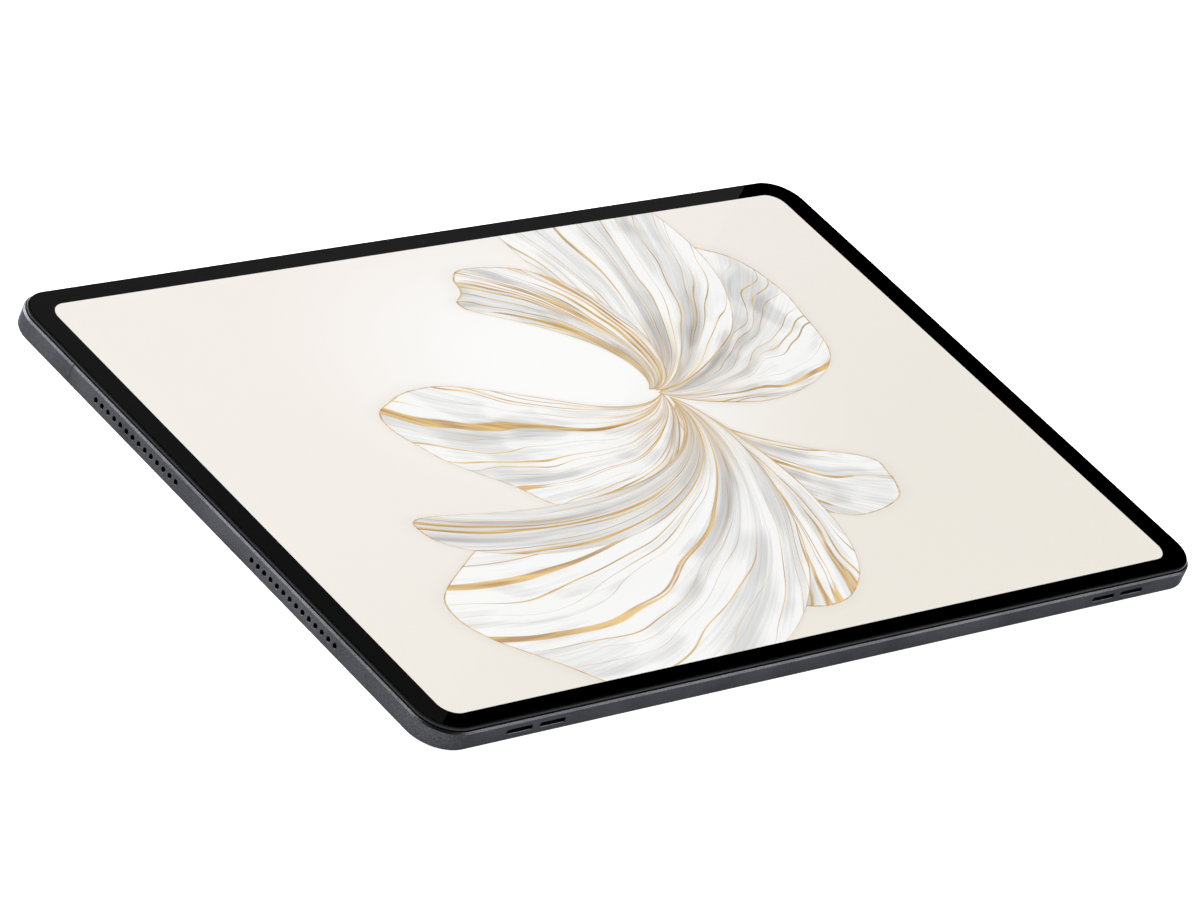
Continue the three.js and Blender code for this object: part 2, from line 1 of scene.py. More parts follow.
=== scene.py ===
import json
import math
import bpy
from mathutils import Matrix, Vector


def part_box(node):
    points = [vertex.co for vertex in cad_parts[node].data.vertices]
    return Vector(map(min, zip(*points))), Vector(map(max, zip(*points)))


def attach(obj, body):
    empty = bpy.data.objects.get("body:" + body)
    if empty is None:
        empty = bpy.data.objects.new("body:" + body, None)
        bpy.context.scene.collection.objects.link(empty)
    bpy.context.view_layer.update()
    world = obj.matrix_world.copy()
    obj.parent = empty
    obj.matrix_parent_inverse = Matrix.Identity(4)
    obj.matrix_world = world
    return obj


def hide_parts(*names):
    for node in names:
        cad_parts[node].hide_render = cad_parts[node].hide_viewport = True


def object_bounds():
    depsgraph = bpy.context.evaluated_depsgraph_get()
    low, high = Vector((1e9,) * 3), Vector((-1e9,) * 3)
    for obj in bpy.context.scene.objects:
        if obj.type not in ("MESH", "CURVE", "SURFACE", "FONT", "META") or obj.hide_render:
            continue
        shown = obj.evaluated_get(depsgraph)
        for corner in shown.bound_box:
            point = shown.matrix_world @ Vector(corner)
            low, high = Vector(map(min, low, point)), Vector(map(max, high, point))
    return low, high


bl_info = {
    "name": "Slab Tablet Computer",
    "version": (1, 0, 0),
    "blender": (4, 5, 0),
    "location": "3D View > Sidebar > Tablet",
    "description": "Builds the finished pieces of a slab tablet computer round its packed frame",
    "category": "Add Mesh",
}

import bmesh
import bpy
from bpy.props import FloatProperty, FloatVectorProperty, IntProperty, PointerProperty
from bpy.types import Operator, Panel, PropertyGroup
from mathutils import Matrix, Vector

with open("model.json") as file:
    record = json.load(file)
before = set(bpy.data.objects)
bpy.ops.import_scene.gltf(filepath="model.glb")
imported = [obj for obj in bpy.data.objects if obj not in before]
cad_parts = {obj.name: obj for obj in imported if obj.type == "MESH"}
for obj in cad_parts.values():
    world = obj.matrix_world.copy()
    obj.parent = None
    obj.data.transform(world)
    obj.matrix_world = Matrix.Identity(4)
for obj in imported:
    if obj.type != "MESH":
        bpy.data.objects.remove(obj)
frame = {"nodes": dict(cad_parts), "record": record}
CAD_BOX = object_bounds()

HOUSING_LOW, HOUSING_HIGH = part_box("rear_housing")
GLASS_LOW, GLASS_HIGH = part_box("cover_glass")
PANEL_LOW, PANEL_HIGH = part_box("display_panel")
INK_LOW, INK_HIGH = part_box("border_ink")
CARRIER_LOW, CARRIER_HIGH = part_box("mid_frame")
WIDTH = HOUSING_HIGH.x - HOUSING_LOW.x
DEPTH = HOUSING_HIGH.y - HOUSING_LOW.y
RECORD = frame["record"]
MM = 0.001
HAIR = 1e-6  # how far a bar's round ends stay short of half its height
ROUND_BAR = 2 * HAIR  # added to a round bar's length, so that its two ends stay apart
NUB_SIZE = 1.6 * MM
MICROPHONE_HOLE = 0.9 * MM
SCREW_POST = 2.2 * MM
SCREW_HOLE = 0.95 * MM
SIDES = {"left": (-1, 0), "right": (1, 0), "front": (0, -1), "back": (0, 1)}


# ---------------------------------------------------------------- settings


def length(name, description, millimetres):
    return FloatProperty(
        name=name, description=description, default=millimetres * MM, min=0.0, unit="LENGTH"
    )


def tint(name, description, colour):
    return FloatVectorProperty(
        name=name, description=description, default=colour, size=3, min=0.0, max=1.0,
        subtype="COLOR",
    )


def share(name, description, amount, most=1.0):
    return FloatProperty(name=name, description=description, default=amount, min=0.0, max=most)


def turn(name, description, degrees):
    return FloatProperty(
        name=name, description=description, default=math.radians(degrees), unit="ROTATION"
    )


class HousingSettings(PropertyGroup):
    corner: length("Corner radius", "Radius of the outline's four corners", 10.6)
    side_wall: length("Side wall", "Thickness of the upright wall", 1.6)
    rear_wall: length("Rear wall", "Thickness of the flat rear wall", 0.8)
    lip: length("Lip", "Width of the wall's top beside the glass", 0.55)
    ledge: length("Ledge height", "Height of the ledge that carries the glass frame", 4.5)
    rear_edge: length("Rear edge", "Radius of the rounded rear edge", 0.8)
    chamfer: length("Chamfer", "Size of the chamfer at the front edge", 0.45)
    countersink: length("Countersink", "Broken edge round an opening in the wall", 0.05)
    slot_countersink: length("Slot countersink", "Broken edge round a sound slot", 0.10)
    hole_radius: length("Sound hole radius", "Radius of a round sound hole", 0.72)
    hole_pitch: length("Sound hole pitch", "Distance from one sound hole to the next", 2.6)
    hole_first: length("First sound hole", "Distance of the first hole from the middle", 15.75)
    hole_count: IntProperty(
        name="Sound holes", description="Holes in one row", default=14, min=1, max=40
    )
    slot_length: length("Slot length", "Length of a sound slot in a long side", 8.7)
    slot_height: length("Slot height", "Height of a sound slot", 1.3)
    slot_inner: length("Inner slot", "Distance of the inner slot from the middle", 100.6)
    slot_outer: length("Outer slot", "Distance of the outer slot from the middle", 111.7)
    opening_level: length("Opening level", "Height of the openings above the rear face", 2.9)
    port_level: length("Port level", "Height of the charging port above the rear face", 2.75)
    gap_width: length("Aerial gap", "Width of a gap in the wall for an aerial insert", 0.5)
    insert_width: length("Aerial insert", "Width of the plastic that fills an aerial gap", 0.4)
    dark: tint("Dark grain", "Darkest colour of the anodised grain", (0.025, 0.0257, 0.0286))
    light: tint("Light grain", "Lightest colour of the anodised grain", (0.061, 0.0626, 0.0688))
    roughness: share("Roughness", "Roughness of the blasted metal", 0.36)


class KeySettings(PropertyGroup):
    height: length("Key height", "Height of a key's cap", 1.9)
    proud: length("Proud", "How far a key stands out of the wall", 0.35)
    clearance: length("Clearance", "Gap between a key and its opening", 0.15)
    easing: length("Easing", "Radius round a key's outer edge", 0.16)
    flange: length("Flange", "Thickness of a key's inner flange", 0.5)
    behind: length("Behind the wall", "Gap between a key's flange and the wall", 0.3)
    nub: length("Nub", "Length of the nub that works a switch", 0.3)
    power_length: length("Power key length", "Length of the power key", 11.0)
    power_middle: length("Power key place", "Middle of the power key along the short side", 70.2)
    volume_length: length("Volume key length", "Length of the volume key", 22.0)
    volume_middle: length("Volume key place", "Middle of the volume key along the long side", 72.0)
    volume_reach: length("Volume reach", "Distance of a volume nub from the middle one", 8.0)


class FrontSettings(PropertyGroup):
    glass_inset: length("Glass inset", "Distance of the glass from the outline", 0.75)
    glass_edge: length("Glass edge", "Radius of the rounded upper edge of the glass", 0.55)
    ink_inset: length("Ink inset", "Distance of the black border from the outline", 1.0)
    carrier_inset: length("Carrier inset", "Distance of the glass carrier from the outline", 0.65)
    screen_width: length("Screen width", "Width of the clear window in the border", 263.1)
    screen_depth: length("Screen depth", "Depth of the clear window in the border", 166.2)
    screen_corner: length("Screen corner", "Corner radius of the clear window", 5.0)
    carrier_width: length("Carrier opening width", "Width of the opening in the carrier", 266.6)
    carrier_depth: length("Carrier opening depth", "Depth of the opening in the carrier", 168.6)
    camera_y: length("Front camera", "Distance of the front camera from the middle", 85.6)
    camera_window: length("Camera window", "Radius of the clear window in the border", 0.8)


class PictureSettings(PropertyGroup):
    cream: tint("Cream", "Colour of the picture's ground", (0.935, 0.875, 0.828))
    shade: tint("Shaded cream", "Ground colour at the far corner", (0.885, 0.842, 0.768))
    glow: tint("Glow", "Colour of the bright patch in the ground", (1.0, 0.995, 0.985))
    silk: tint("Silk", "Lit colour of the petals", (0.97, 0.965, 0.955))
    silk_shade: tint("Silk shade", "Colour of the petals' folds", (0.40, 0.39, 0.38))
    gold: tint("Gold", "Colour of the lit gold lines", (0.86, 0.56, 0.17))
    gold_shade: tint("Gold shade", "Colour of the shaded gold lines", (0.46, 0.25, 0.06))
    strength: share("Brightness", "Radiance of the picture's white", 1.08, 4.0)


class CameraPieceSettings(PropertyGroup):
    ring_radius: length("Ring radius", "Outer radius of the rear camera's trim ring", 8.0)
    ring_flange: length("Ring flange", "Radius of the ring's flange inside the wall", 9.0)
    seat_radius: length("Glass seat", "Radius of the seat for the camera glass", 6.7)
    glass_radius: length("Camera glass", "Radius of the rear camera's glass", 6.55)
    module_half: length("Module half width", "Half of the rear camera module's width", 6.0)
    flash_radius: length("Flash radius", "Radius of the flash diffuser", 2.35)
    trim_gap: length("Trim gap", "Gap round the ring and the diffuser", 0.15)
    # Colour of the lens coating's painted reflection, which is painted into the lens's base colour.
    coating: tint("Lens coating", "Tint of the lens coating", (0.02, 0.05, 0.16))


class StageSettings(PropertyGroup):
    floor_colour: tint("Floor", "Colour of the floor", (0.9, 0.9, 0.9))
    floor_glow: share("Floor glow", "Radiance of the floor's own light", 0.92, 4.0)
    azimuth: turn("Azimuth", "Direction the camera looks from, about the upright", -53.354)
    elevation: turn("Elevation", "Height of the camera above the horizon", 30.329)
    roll: turn("Roll", "Tilt of the camera about its own axis", 23.546)
    lens: FloatProperty(
        name="Lens", description="Focal length", default=200.43, min=10.0, unit="CAMERA"
    )
    distance: length("Distance", "Distance from the camera to the glass", 1706.83)
    aim: FloatVectorProperty(
        name="Aim", description="Point on the glass that the camera looks at", size=3,
        default=(-0.01276, -0.00433, 0.0066), subtype="TRANSLATION",
    )


SETTINGS = {
    "tablet_housing": HousingSettings,
    "tablet_keys": KeySettings,
    "tablet_front": FrontSettings,
    "tablet_picture": PictureSettings,
    "tablet_cameras": CameraPieceSettings,
    "tablet_stage": StageSettings,
}


def settings(name):
    return getattr(bpy.context.scene, name)


# ---------------------------------------------------------------- shapes


def rounded_rectangle(width, depth, radius, steps=24):
    """Points anticlockwise round a rounded rectangle, with the same count at each corner."""
    points = []
    for corner, (sx, sy) in enumerate(((1, -1), (1, 1), (-1, 1), (-1, -1))):
        middle = Vector((sx * (width / 2 - radius), sy * (depth / 2 - radius)))
        for step in range(steps + 1):
            angle = math.pi / 2 * (corner - 1 + step / steps)
            points.append(middle + radius * Vector((math.cos(angle), math.sin(angle))))
    return points


def slab_ring(inset, level, corner):
    """The tablet's outline moved inwards by an inset, at a height."""
    points = rounded_rectangle(WIDTH - 2 * inset, DEPTH - 2 * inset, corner - inset)
    return [Vector((p.x, p.y, level)) for p in points]


def circle_ring(radius, level, x, y, steps=64):
    angles = [2 * math.pi * i / steps for i in range(steps)]
    return [Vector((x + radius * math.cos(a), y + radius * math.sin(a), level)) for a in angles]


def quarter_round(start, end, steps):
    """Points of a quarter ellipse that leaves start along the second axis and ends at end."""
    (a0, b0), (a1, b1) = start, end
    turns = [math.pi / 2 * i / steps for i in range(steps + 1)]
    return [(a0 + (a1 - a0) * (1 - math.cos(t)), b0 + (b1 - b0) * math.sin(t)) for t in turns]


def skin(form, rings, closed=False, cap_material=0):
    """Adds a skin over rings of equal count to form: capped, or closed on itself."""
    loops = [[form.verts.new(point) for point in ring] for ring in rings]
    pairs = list(zip(loops, loops[1:]))
    if closed:
        pairs.append((loops[-1], loops[0]))
    count = len(loops[0])
    for low, high in pairs:
        for i in range(count):
            after = (i + 1) % count
            form.faces.new((low[i], low[after], high[after], high[i]))
    if not closed:
        form.faces.new(tuple(reversed(loops[0])))
        top = form.faces.new(tuple(loops[-1]))
        top.material_index = cap_material


def block(form, low, high, easing=0.0):
    """Adds a box with eased upright corners to form."""
    middle = (Vector(low) + Vector(high)) / 2
    size = Vector(high) - Vector(low)
    outline = rounded_rectangle(size.x, size.y, max(easing, 1e-5), 4)
    rise = min(easing, size.z / 3)
    rings = []
    for inset, level in ((rise, low[2]), (0, low[2] + rise), (0, high[2] - rise), (rise, high[2])):
        scale_x = 1 - 2 * inset / size.x
        scale_y = 1 - 2 * inset / size.y
        rings.append([
            Vector((middle.x + p.x * scale_x, middle.y + p.y * scale_y, level)) for p in outline
        ])
    skin(form, rings if easing > 0 else rings[1:3])


def on_wall(side, across, level):
    """Maps (along, up, out) at a place on a side wall's outer face to the tablet's axes."""
    nx, ny = SIDES[side]

    def place(along, up, out):
        x = nx * (WIDTH / 2 + out) if nx else across + along
        y = ny * (DEPTH / 2 + out) if ny else across + along
        return Vector((x, y, level + up))

    return place


def bar(form, place, long, tall, steps, segments=6):
    """Adds a round-ended bar that goes out through a wall: steps are (growth, out) pairs."""
    rings = []
    for growth, out in steps:
        size = (long + 2 * growth, tall + 2 * growth)
        outline = rounded_rectangle(*size, size[1] / 2 - HAIR, segments)
        rings.append([place(p.x, p.y, out) for p in outline])
    skin(form, rings)


def lathe(form, profile, x, y, closed=False, steps=64):
    """Adds a body turned about an upright axis from (radius, level) pairs."""
    skin(form, [circle_ring(radius, level, x, y, steps) for radius, level in profile], closed)


def make_piece(name, form, crease=30):
    """Turns a form into an object with smooth faces and crisp edges."""
    bmesh.ops.recalc_face_normals(form, faces=form.faces)
    mesh = bpy.data.meshes.new(name)
    form.to_mesh(mesh)
    form.free()
    piece = bpy.data.objects.new(name, mesh)
    bpy.context.scene.collection.objects.link(piece)
    smooth(piece, crease)
    return piece


def smooth(piece, crease=30):
    piece.data.shade_smooth()
    piece.data.set_sharp_from_angle(angle=math.radians(crease))


def carve(piece, form, operation="DIFFERENCE"):
    """Cuts form out of the piece, or adds it, and leaves plain mesh behind."""
    tool = make_piece(piece.name + "_tool", form)
    modifier = piece.modifiers.new("cut", "BOOLEAN")
    modifier.object = tool
    modifier.operation = operation
    modifier.solver = "EXACT"
    graph = bpy.context.evaluated_depsgraph_get()
    result = bpy.data.meshes.new_from_object(piece.evaluated_get(graph))
    piece.modifiers.clear()
    worn = piece.data
    piece.data = result
    result.name = piece.name
    bpy.data.meshes.remove(worn)
    bpy.data.meshes.remove(tool.data)
    if not result.polygons:
        raise RuntimeError(f"{piece.name}: the cut left nothing")
    smooth(piece)
    return piece


def fit(piece, body, slot, *nodes):
    """Hangs a piece on its body and hides the plain parts it stands for; the slot it is given is
    not used.
    """
    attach(piece, body)
    if nodes:
        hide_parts(*nodes)
    return piece


def paint(piece, *materials):
    for material in materials:
        piece.data.materials.append(material)


# ---------------------------------------------------------------- shader sketching


class Signal:
    """A value in a shader, which plain arithmetic can be written with."""

    def __init__(self, sketch, socket):
        self.sketch = sketch
        self.socket = socket

    def __add__(self, other):
        return self.sketch.math("ADD", self, other)

    def __sub__(self, other):
        return self.sketch.math("SUBTRACT", self, other)

    def __rsub__(self, other):
        return self.sketch.math("SUBTRACT", other, self)

    def __mul__(self, other):
        return self.sketch.math("MULTIPLY", self, other)

    def __truediv__(self, other):
        return self.sketch.math("DIVIDE", self, other)

    __radd__ = __add__
    __rmul__ = __mul__


class Sketch:
    """Writes shader nodes into a material or a node group."""

    def __init__(self, tree):
        self.tree = tree

    def node(self, kind, inputs, **options):
        made = self.tree.nodes.new(kind)
        for option, value in options.items():
            setattr(made, option, value)
        for key, value in inputs.items():
            self.feed(made.inputs[key], value)
        return made

    def feed(self, socket, value):
        if isinstance(value, Signal):
            self.tree.links.new(value.socket, socket)
        elif socket.type == "RGBA" and len(value) == 3:
            socket.default_value = (*value, 1.0)
        else:
            socket.default_value = value

    def math(self, operation, *values):
        made = self.node("ShaderNodeMath", dict(enumerate(values)), operation=operation)
        return Signal(self, made.outputs[0])

    def place(self):
        """The point in the tablet's own axes, in metres."""
        made = self.node("ShaderNodeTexCoord", {})
        return Signal(self, made.outputs["Object"])

    def axes(self, vector):
        made = self.node("ShaderNodeSeparateXYZ", {0: vector})
        return [Signal(self, output) for output in made.outputs]

    def vector(self, x, y, z):
        made = self.node("ShaderNodeCombineXYZ", {0: x, 1: y, 2: z})
        return Signal(self, made.outputs[0])

    def noise(self, vector, scale, detail=2.0, roughness=0.5, distortion=0.0):
        inputs = {
            "Vector": vector, "Scale": scale, "Detail": detail, "Roughness": roughness,
            "Distortion": distortion,
        }
        return Signal(self, self.node("ShaderNodeTexNoise", inputs).outputs[0])

    def strand_noise(self, position, scale, detail=2.0):
        inputs = {"W": position, "Scale": scale, "Detail": detail}
        made = self.node("ShaderNodeTexNoise", inputs, noise_dimensions="1D")
        return Signal(self, made.outputs[0])

    def cells(self, vector, scale, feature="F1"):
        inputs = {"Vector": vector, "Scale": scale}
        made = self.node("ShaderNodeTexVoronoi", inputs, feature=feature)
        return Signal(self, made.outputs[0])

    def ease(self, value, low, high):
        """Smoothly from 0 at low to 1 at high."""
        inputs = {"Value": value, "From Min": low, "From Max": high}
        made = self.node("ShaderNodeMapRange", inputs, interpolation_type="SMOOTHSTEP")
        return Signal(self, made.outputs[0])

    def blend(self, amount, first, second):
        inputs = {0: amount, 6: first, 7: second}
        made = self.node("ShaderNodeMix", inputs, data_type="RGBA")
        return Signal(self, made.outputs[2])

    def bump(self, height, strength, distance):
        inputs = {"Strength": strength, "Distance": distance, "Height": height}
        return Signal(self, self.node("ShaderNodeBump", inputs).outputs[0])


def material(name, surface):
    """A new material: surface gets a sketch and returns the principled shader's inputs."""
    made = bpy.data.materials.new(name)
    made.use_nodes = True
    made.cycles.emission_sampling = "NONE"
    sketch = Sketch(made.node_tree)
    shader = made.node_tree.nodes["Principled BSDF"]
    for key, value in surface(sketch).items():
        sketch.feed(shader.inputs[key], value)
    return made


# ---------------------------------------------------------------- finishes


def anodised_metal():
    housing = settings("tablet_housing")

    def surface(sketch):
        place = sketch.place()
        grain = sketch.noise(place, 3000.0, 3.0, 0.65)
        cloud = sketch.noise(place, 70.0, 3.0)
        tone = grain * 0.75 + cloud * 0.25
        bright = sketch.ease(tone, 0.36, 0.64)
        return {
            "Base Color": sketch.blend(bright, tuple(housing.dark), tuple(housing.light)),
            "Metallic": 1.0,
            "Specular Tint": (0.5, 0.5, 0.52),
            "Roughness": housing.roughness + grain * 0.10,
            "Normal": sketch.bump(grain, 0.45, 0.00004),
        }

    return material("anodised_metal", surface)


def moulded_plastic(name, dark, light, roughness, sheen=0.5):
    def surface(sketch):
        place = sketch.place()
        grain = sketch.noise(place, 2600.0, 3.0)
        mix = sketch.ease(grain, 0.3, 0.7)
        return {
            "Base Color": sketch.blend(mix, dark, light),
            "Roughness": roughness + grain * 0.15,
            "Specular IOR Level": sheen,
            "Normal": sketch.bump(grain, 0.25, 0.00002),
        }

    return material(name, surface)


def clear_glass():
    def surface(sketch):
        smear = sketch.noise(sketch.place(), 45.0, 4.0)
        return {
            "Base Color": sketch.blend(smear, (0.985, 0.99, 0.99), (0.995, 1.0, 1.0)),
            "Roughness": sketch.ease(smear, 0.45, 0.9) * 0.02,
            "IOR": 1.5,
            "Transmission Weight": 1.0,
        }

    return material("clear_glass", surface)


def bonded_face():
    """The underside of the glass, where it is bonded and so neither bends nor reflects light."""
    def surface(sketch):
        smear = sketch.noise(sketch.place(), 45.0, 2.0)
        return {
            "Base Color": sketch.blend(smear, (0.99, 0.995, 0.995), (1.0, 1.0, 1.0)),
            "Roughness": 0.0,
            "IOR": 1.0,
            "Transmission Weight": 1.0,
        }

    return material("bonded_face", surface)


def glass_rim():
    """The rounded rim of the glass, which looks black because of the ink and frame behind it."""
    def surface(sketch):
        smear = sketch.noise(sketch.place(), 300.0, 3.0)
        return {
            "Base Color": sketch.blend(smear, (0.024, 0.024, 0.025), (0.032, 0.032, 0.034)),
            "Roughness": 0.16 + smear * 0.08,
            "Specular IOR Level": 0.08,
        }

    return material("glass_rim", surface)


def screen_printed_ink():
    def surface(sketch):
        dots = sketch.noise(sketch.place(), 9000.0, 1.0)
        return {
            "Base Color": sketch.blend(dots, (0.0003, 0.0003, 0.0003), (0.0007, 0.0007, 0.0008)),
            "Roughness": 0.6,
            "Specular IOR Level": 0.0,
        }

    return material("screen_printed_ink", surface)


def petal_group(picture):
    """One silk petal: a swept fan of fine strands with a ruffled, gold-lined edge."""
    tree = bpy.data.node_groups.new("silk_petal", "ShaderNodeTree")
    wires = tree.interface
    wires.new_socket("Below", in_out="INPUT", socket_type="NodeSocketColor")
    names = ("X", "Y", "Heading", "Spread", "Reach", "Sweep", "Ruffle", "Tone", "Gold", "Seed")
    for name in names:
        wires.new_socket(name, in_out="INPUT", socket_type="NodeSocketFloat")
    wires.new_socket("Colour", in_out="OUTPUT", socket_type="NodeSocketColor")
    sketch = Sketch(tree)
    entry = tree.nodes.new("NodeGroupInput")
    below = Signal(sketch, entry.outputs["Below"])
    x, y, heading, spread, reach, sweep, ruffle, tone, gold, seed = [
        Signal(sketch, entry.outputs[name]) for name in names
    ]
    radius = sketch.math("SQRT", x * x + y * y)
    out = radius / reach
    swirl = sweep * (out - 1.1 * sketch.math("EXPONENT", out * -5.0))
    bearing = sketch.math("ARCTAN2", y, x) - heading - swirl
    swing = sketch.math("WRAP", bearing, math.pi, -math.pi)
    side = swing / spread

    # edge: ruffled at the rim and slightly wavy at the sides
    arc = side * spread
    wave = sketch.strand_noise(arc + seed, 3.4, 0.0) - 0.5
    frill = sketch.strand_noise(arc + seed * 1.7, 9.0, 0.0) - 0.5
    corner = sketch.math("POWER", sketch.math("ABSOLUTE", side), 3.0)
    rim = reach * (1.0 + wave * ruffle * 3.4 + frill * ruffle * 0.2 - corner * 0.42)
    sway = sketch.strand_noise(out + seed * 2.3, 2.2, 0.0) - 0.5
    half = spread * (1.0 + sway * 0.22)
    to_rim = rim - radius
    to_side = radius * (half - sketch.math("ABSOLUTE", swing))
    inside = sketch.math("SMOOTH_MIN", to_rim, to_side, 16.0)

    # strands: coarse folds, fine threads and a few crossing ripples
    warp = sketch.noise(sketch.vector(side * 1.3, out * 2.2, seed), 1.5, 1.0) - 0.5
    lane = side + warp * 0.35
    folds = sketch.noise(sketch.vector(lane * 3.4, out * 0.9, seed), 1.0, 1.0)
    creases = sketch.noise(sketch.vector(lane * 11.0, out * 1.3, seed + 4.0), 1.0, 2.0)
    threads = sketch.noise(sketch.vector(arc * 105.0, out * 1.4, seed), 1.0, 1.0)
    sheen = sketch.noise(sketch.vector(side * 2.6, out * 4.6, seed + 9.0), 1.0, 1.0, 0.5, 0.6)
    light = (
        sketch.ease(folds, 0.32, 0.56) * 0.46
        + sketch.ease(creases, 0.30, 0.62) * 0.22
        + sketch.ease(sheen, 0.32, 0.62) * 0.30
        + sketch.ease(threads, 0.25, 0.75) * 0.22
    )
    level = sketch.math("MINIMUM", light * tone + sketch.ease(out, 0.05, 0.7) * 0.16, 1.0)
    cloth = sketch.blend(level, tuple(picture.silk_shade), tuple(picture.silk))

    # gold: veins along the strands, thickest near the heart, and a line round the edge
    vein_noise = sketch.strand_noise(lane + seed * 3.1, 6.5, 0.0)
    near = 1.0 - sketch.ease(out, 0.10, 0.95)
    reachable = sketch.noise(sketch.vector(lane * 4.0, out * 1.6, seed + 2.0), 1.0, 0.0)
    ribbon = sketch.ease(reachable, 0.46, 0.66) * sketch.ease(out, 0.15, 0.5)
    width = 0.005 + near * 0.045 * gold + ribbon * gold * 0.15
    vein = 1.0 - sketch.ease(sketch.math("ABSOLUTE", vein_noise - 0.5), width * 0.3, width)
    heart = (1.0 - sketch.ease(radius, 2.0, 42.0)) * sketch.ease(creases, 0.46, 0.58)
    glint = sketch.noise(sketch.vector(side * 20.0, out * 7.0, seed), 1.0, 1.0)
    metal = sketch.blend(
        sketch.ease(glint, 0.3, 0.7), tuple(picture.gold_shade), tuple(picture.gold)
    )
    veined = sketch.math("MINIMUM", vein * 0.85 + heart * (0.58 + gold * 0.3), 0.94)
    cloth = sketch.blend(veined, cloth, metal)
    piping = 1.0 - sketch.ease(inside, 0.22, 0.60)
    cloth = sketch.blend(piping * 0.85, cloth, metal)

    # a soft shadow on what lies beneath, then the petal itself
    shadow = sketch.ease(inside, -4.5, 0.5) * 0.10
    ground = sketch.blend(shadow, below, (0.42, 0.38, 0.33))
    cover = sketch.ease(inside, -0.12, 0.12)
    result = sketch.blend(cover, ground, cloth)
    leave = tree.nodes.new("NodeGroupOutput")
    tree.links.new(result.socket, leave.inputs["Colour"])
    return tree


# heart x, y in mm; heading, spread in degrees; reach in mm; sweep; ruffle; tone; gold; seed
PETALS = (
    (24, 13, 12, 34, 82, 0.34, 0.050, 0.96, 0.16, 1.3),
    (24, 14, 46, 31, 101, 0.40, 0.045, 1.00, 0.24, 5.2),
    (22, 15, 62, 28, 60, 0.92, 0.040, 0.94, 1.00, 9.7),
    (28, 9, 268, 27, 62, 0.70, 0.040, 0.90, 1.00, 17.6),
    (27, 9, 272, 22, 84, -0.30, 0.040, 0.96, 0.60, 13.1),
    (26, 11, 250, 26, 144, -0.66, 0.040, 0.96, 0.30, 21.9),
    (25, 13, 211, 29, 88, -0.52, 0.050, 1.00, 0.42, 26.4),
    (26, 11, 236, 8, 120, -0.72, 0.028, 0.62, 0.60, 30.8),
)


def display_picture():
    picture = settings("tablet_picture")
    group = petal_group(picture)

    def surface(sketch):
        x, y, _ = sketch.axes(sketch.place())
        x = x / MM
        y = y / MM
        off_y = y - 30.0
        far = sketch.math("SQRT", x * x + off_y * off_y * 1.6)
        slope = sketch.ease(x * 0.45 - y * 1.1, -100.0, 90.0)
        ground = sketch.blend(slope, tuple(picture.cream), tuple(picture.shade))
        glow = 1.0 - sketch.ease(far, 8.0, 95.0)
        colour = sketch.blend(glow * 0.95, ground, tuple(picture.glow))
        for heart_x, heart_y, heading, spread, reach, sweep, ruffle, tone, gold, seed in PETALS:
            inputs = {
                "Below": colour, "X": x - heart_x, "Y": y - heart_y,
                "Heading": math.radians(heading), "Spread": math.radians(spread),
                "Reach": reach, "Sweep": sweep, "Ruffle": ruffle, "Tone": tone,
                "Gold": gold, "Seed": seed,
            }
            made = sketch.tree.nodes.new("ShaderNodeGroup")
            made.node_tree = group
            for key, value in inputs.items():
                sketch.feed(made.inputs[key], value)
            colour = Signal(sketch, made.outputs["Colour"])
        return {
            "Base Color": (0.0, 0.0, 0.0),
            "Roughness": 0.4,
            "Specular IOR Level": 0.0,
            "Emission Color": colour,
            "Emission Strength": picture.strength,
        }

    return material("display_picture", surface)


def woven_mesh():
    def surface(sketch):
        x, y, z = sketch.axes(sketch.place())
        along = sketch.math("SINE", (x + y) * 16000.0)
        up = sketch.math("SINE", z * 16000.0)
        weave = sketch.math("MAXIMUM", along, up)
        lit = sketch.ease(weave, -0.2, 0.9)
        return {
            "Base Color": sketch.blend(lit, (0.0015, 0.0015, 0.0015), (0.012, 0.012, 0.013)),
            "Roughness": 0.75,
            "Normal": sketch.bump(weave, 0.6, 0.00004),
        }

    return material("woven_mesh", surface)


def stamped_metal(name, dark, light, roughness=0.3):
    def surface(sketch):
        x, y, z = sketch.axes(sketch.place())
        brushed = sketch.noise(sketch.vector(x * 300.0, y * 6000.0, z * 6000.0), 1.0, 2.0)
        spots = sketch.noise(sketch.place(), 900.0, 3.0)
        mix = sketch.ease(brushed * 0.6 + spots * 0.4, 0.3, 0.7)
        return {
            "Base Color": sketch.blend(mix, dark, light),
            "Metallic": 1.0,
            "Roughness": roughness + spots * 0.15,
            "Normal": sketch.bump(brushed, 0.2, 0.00001),
        }

    return material(name, surface)


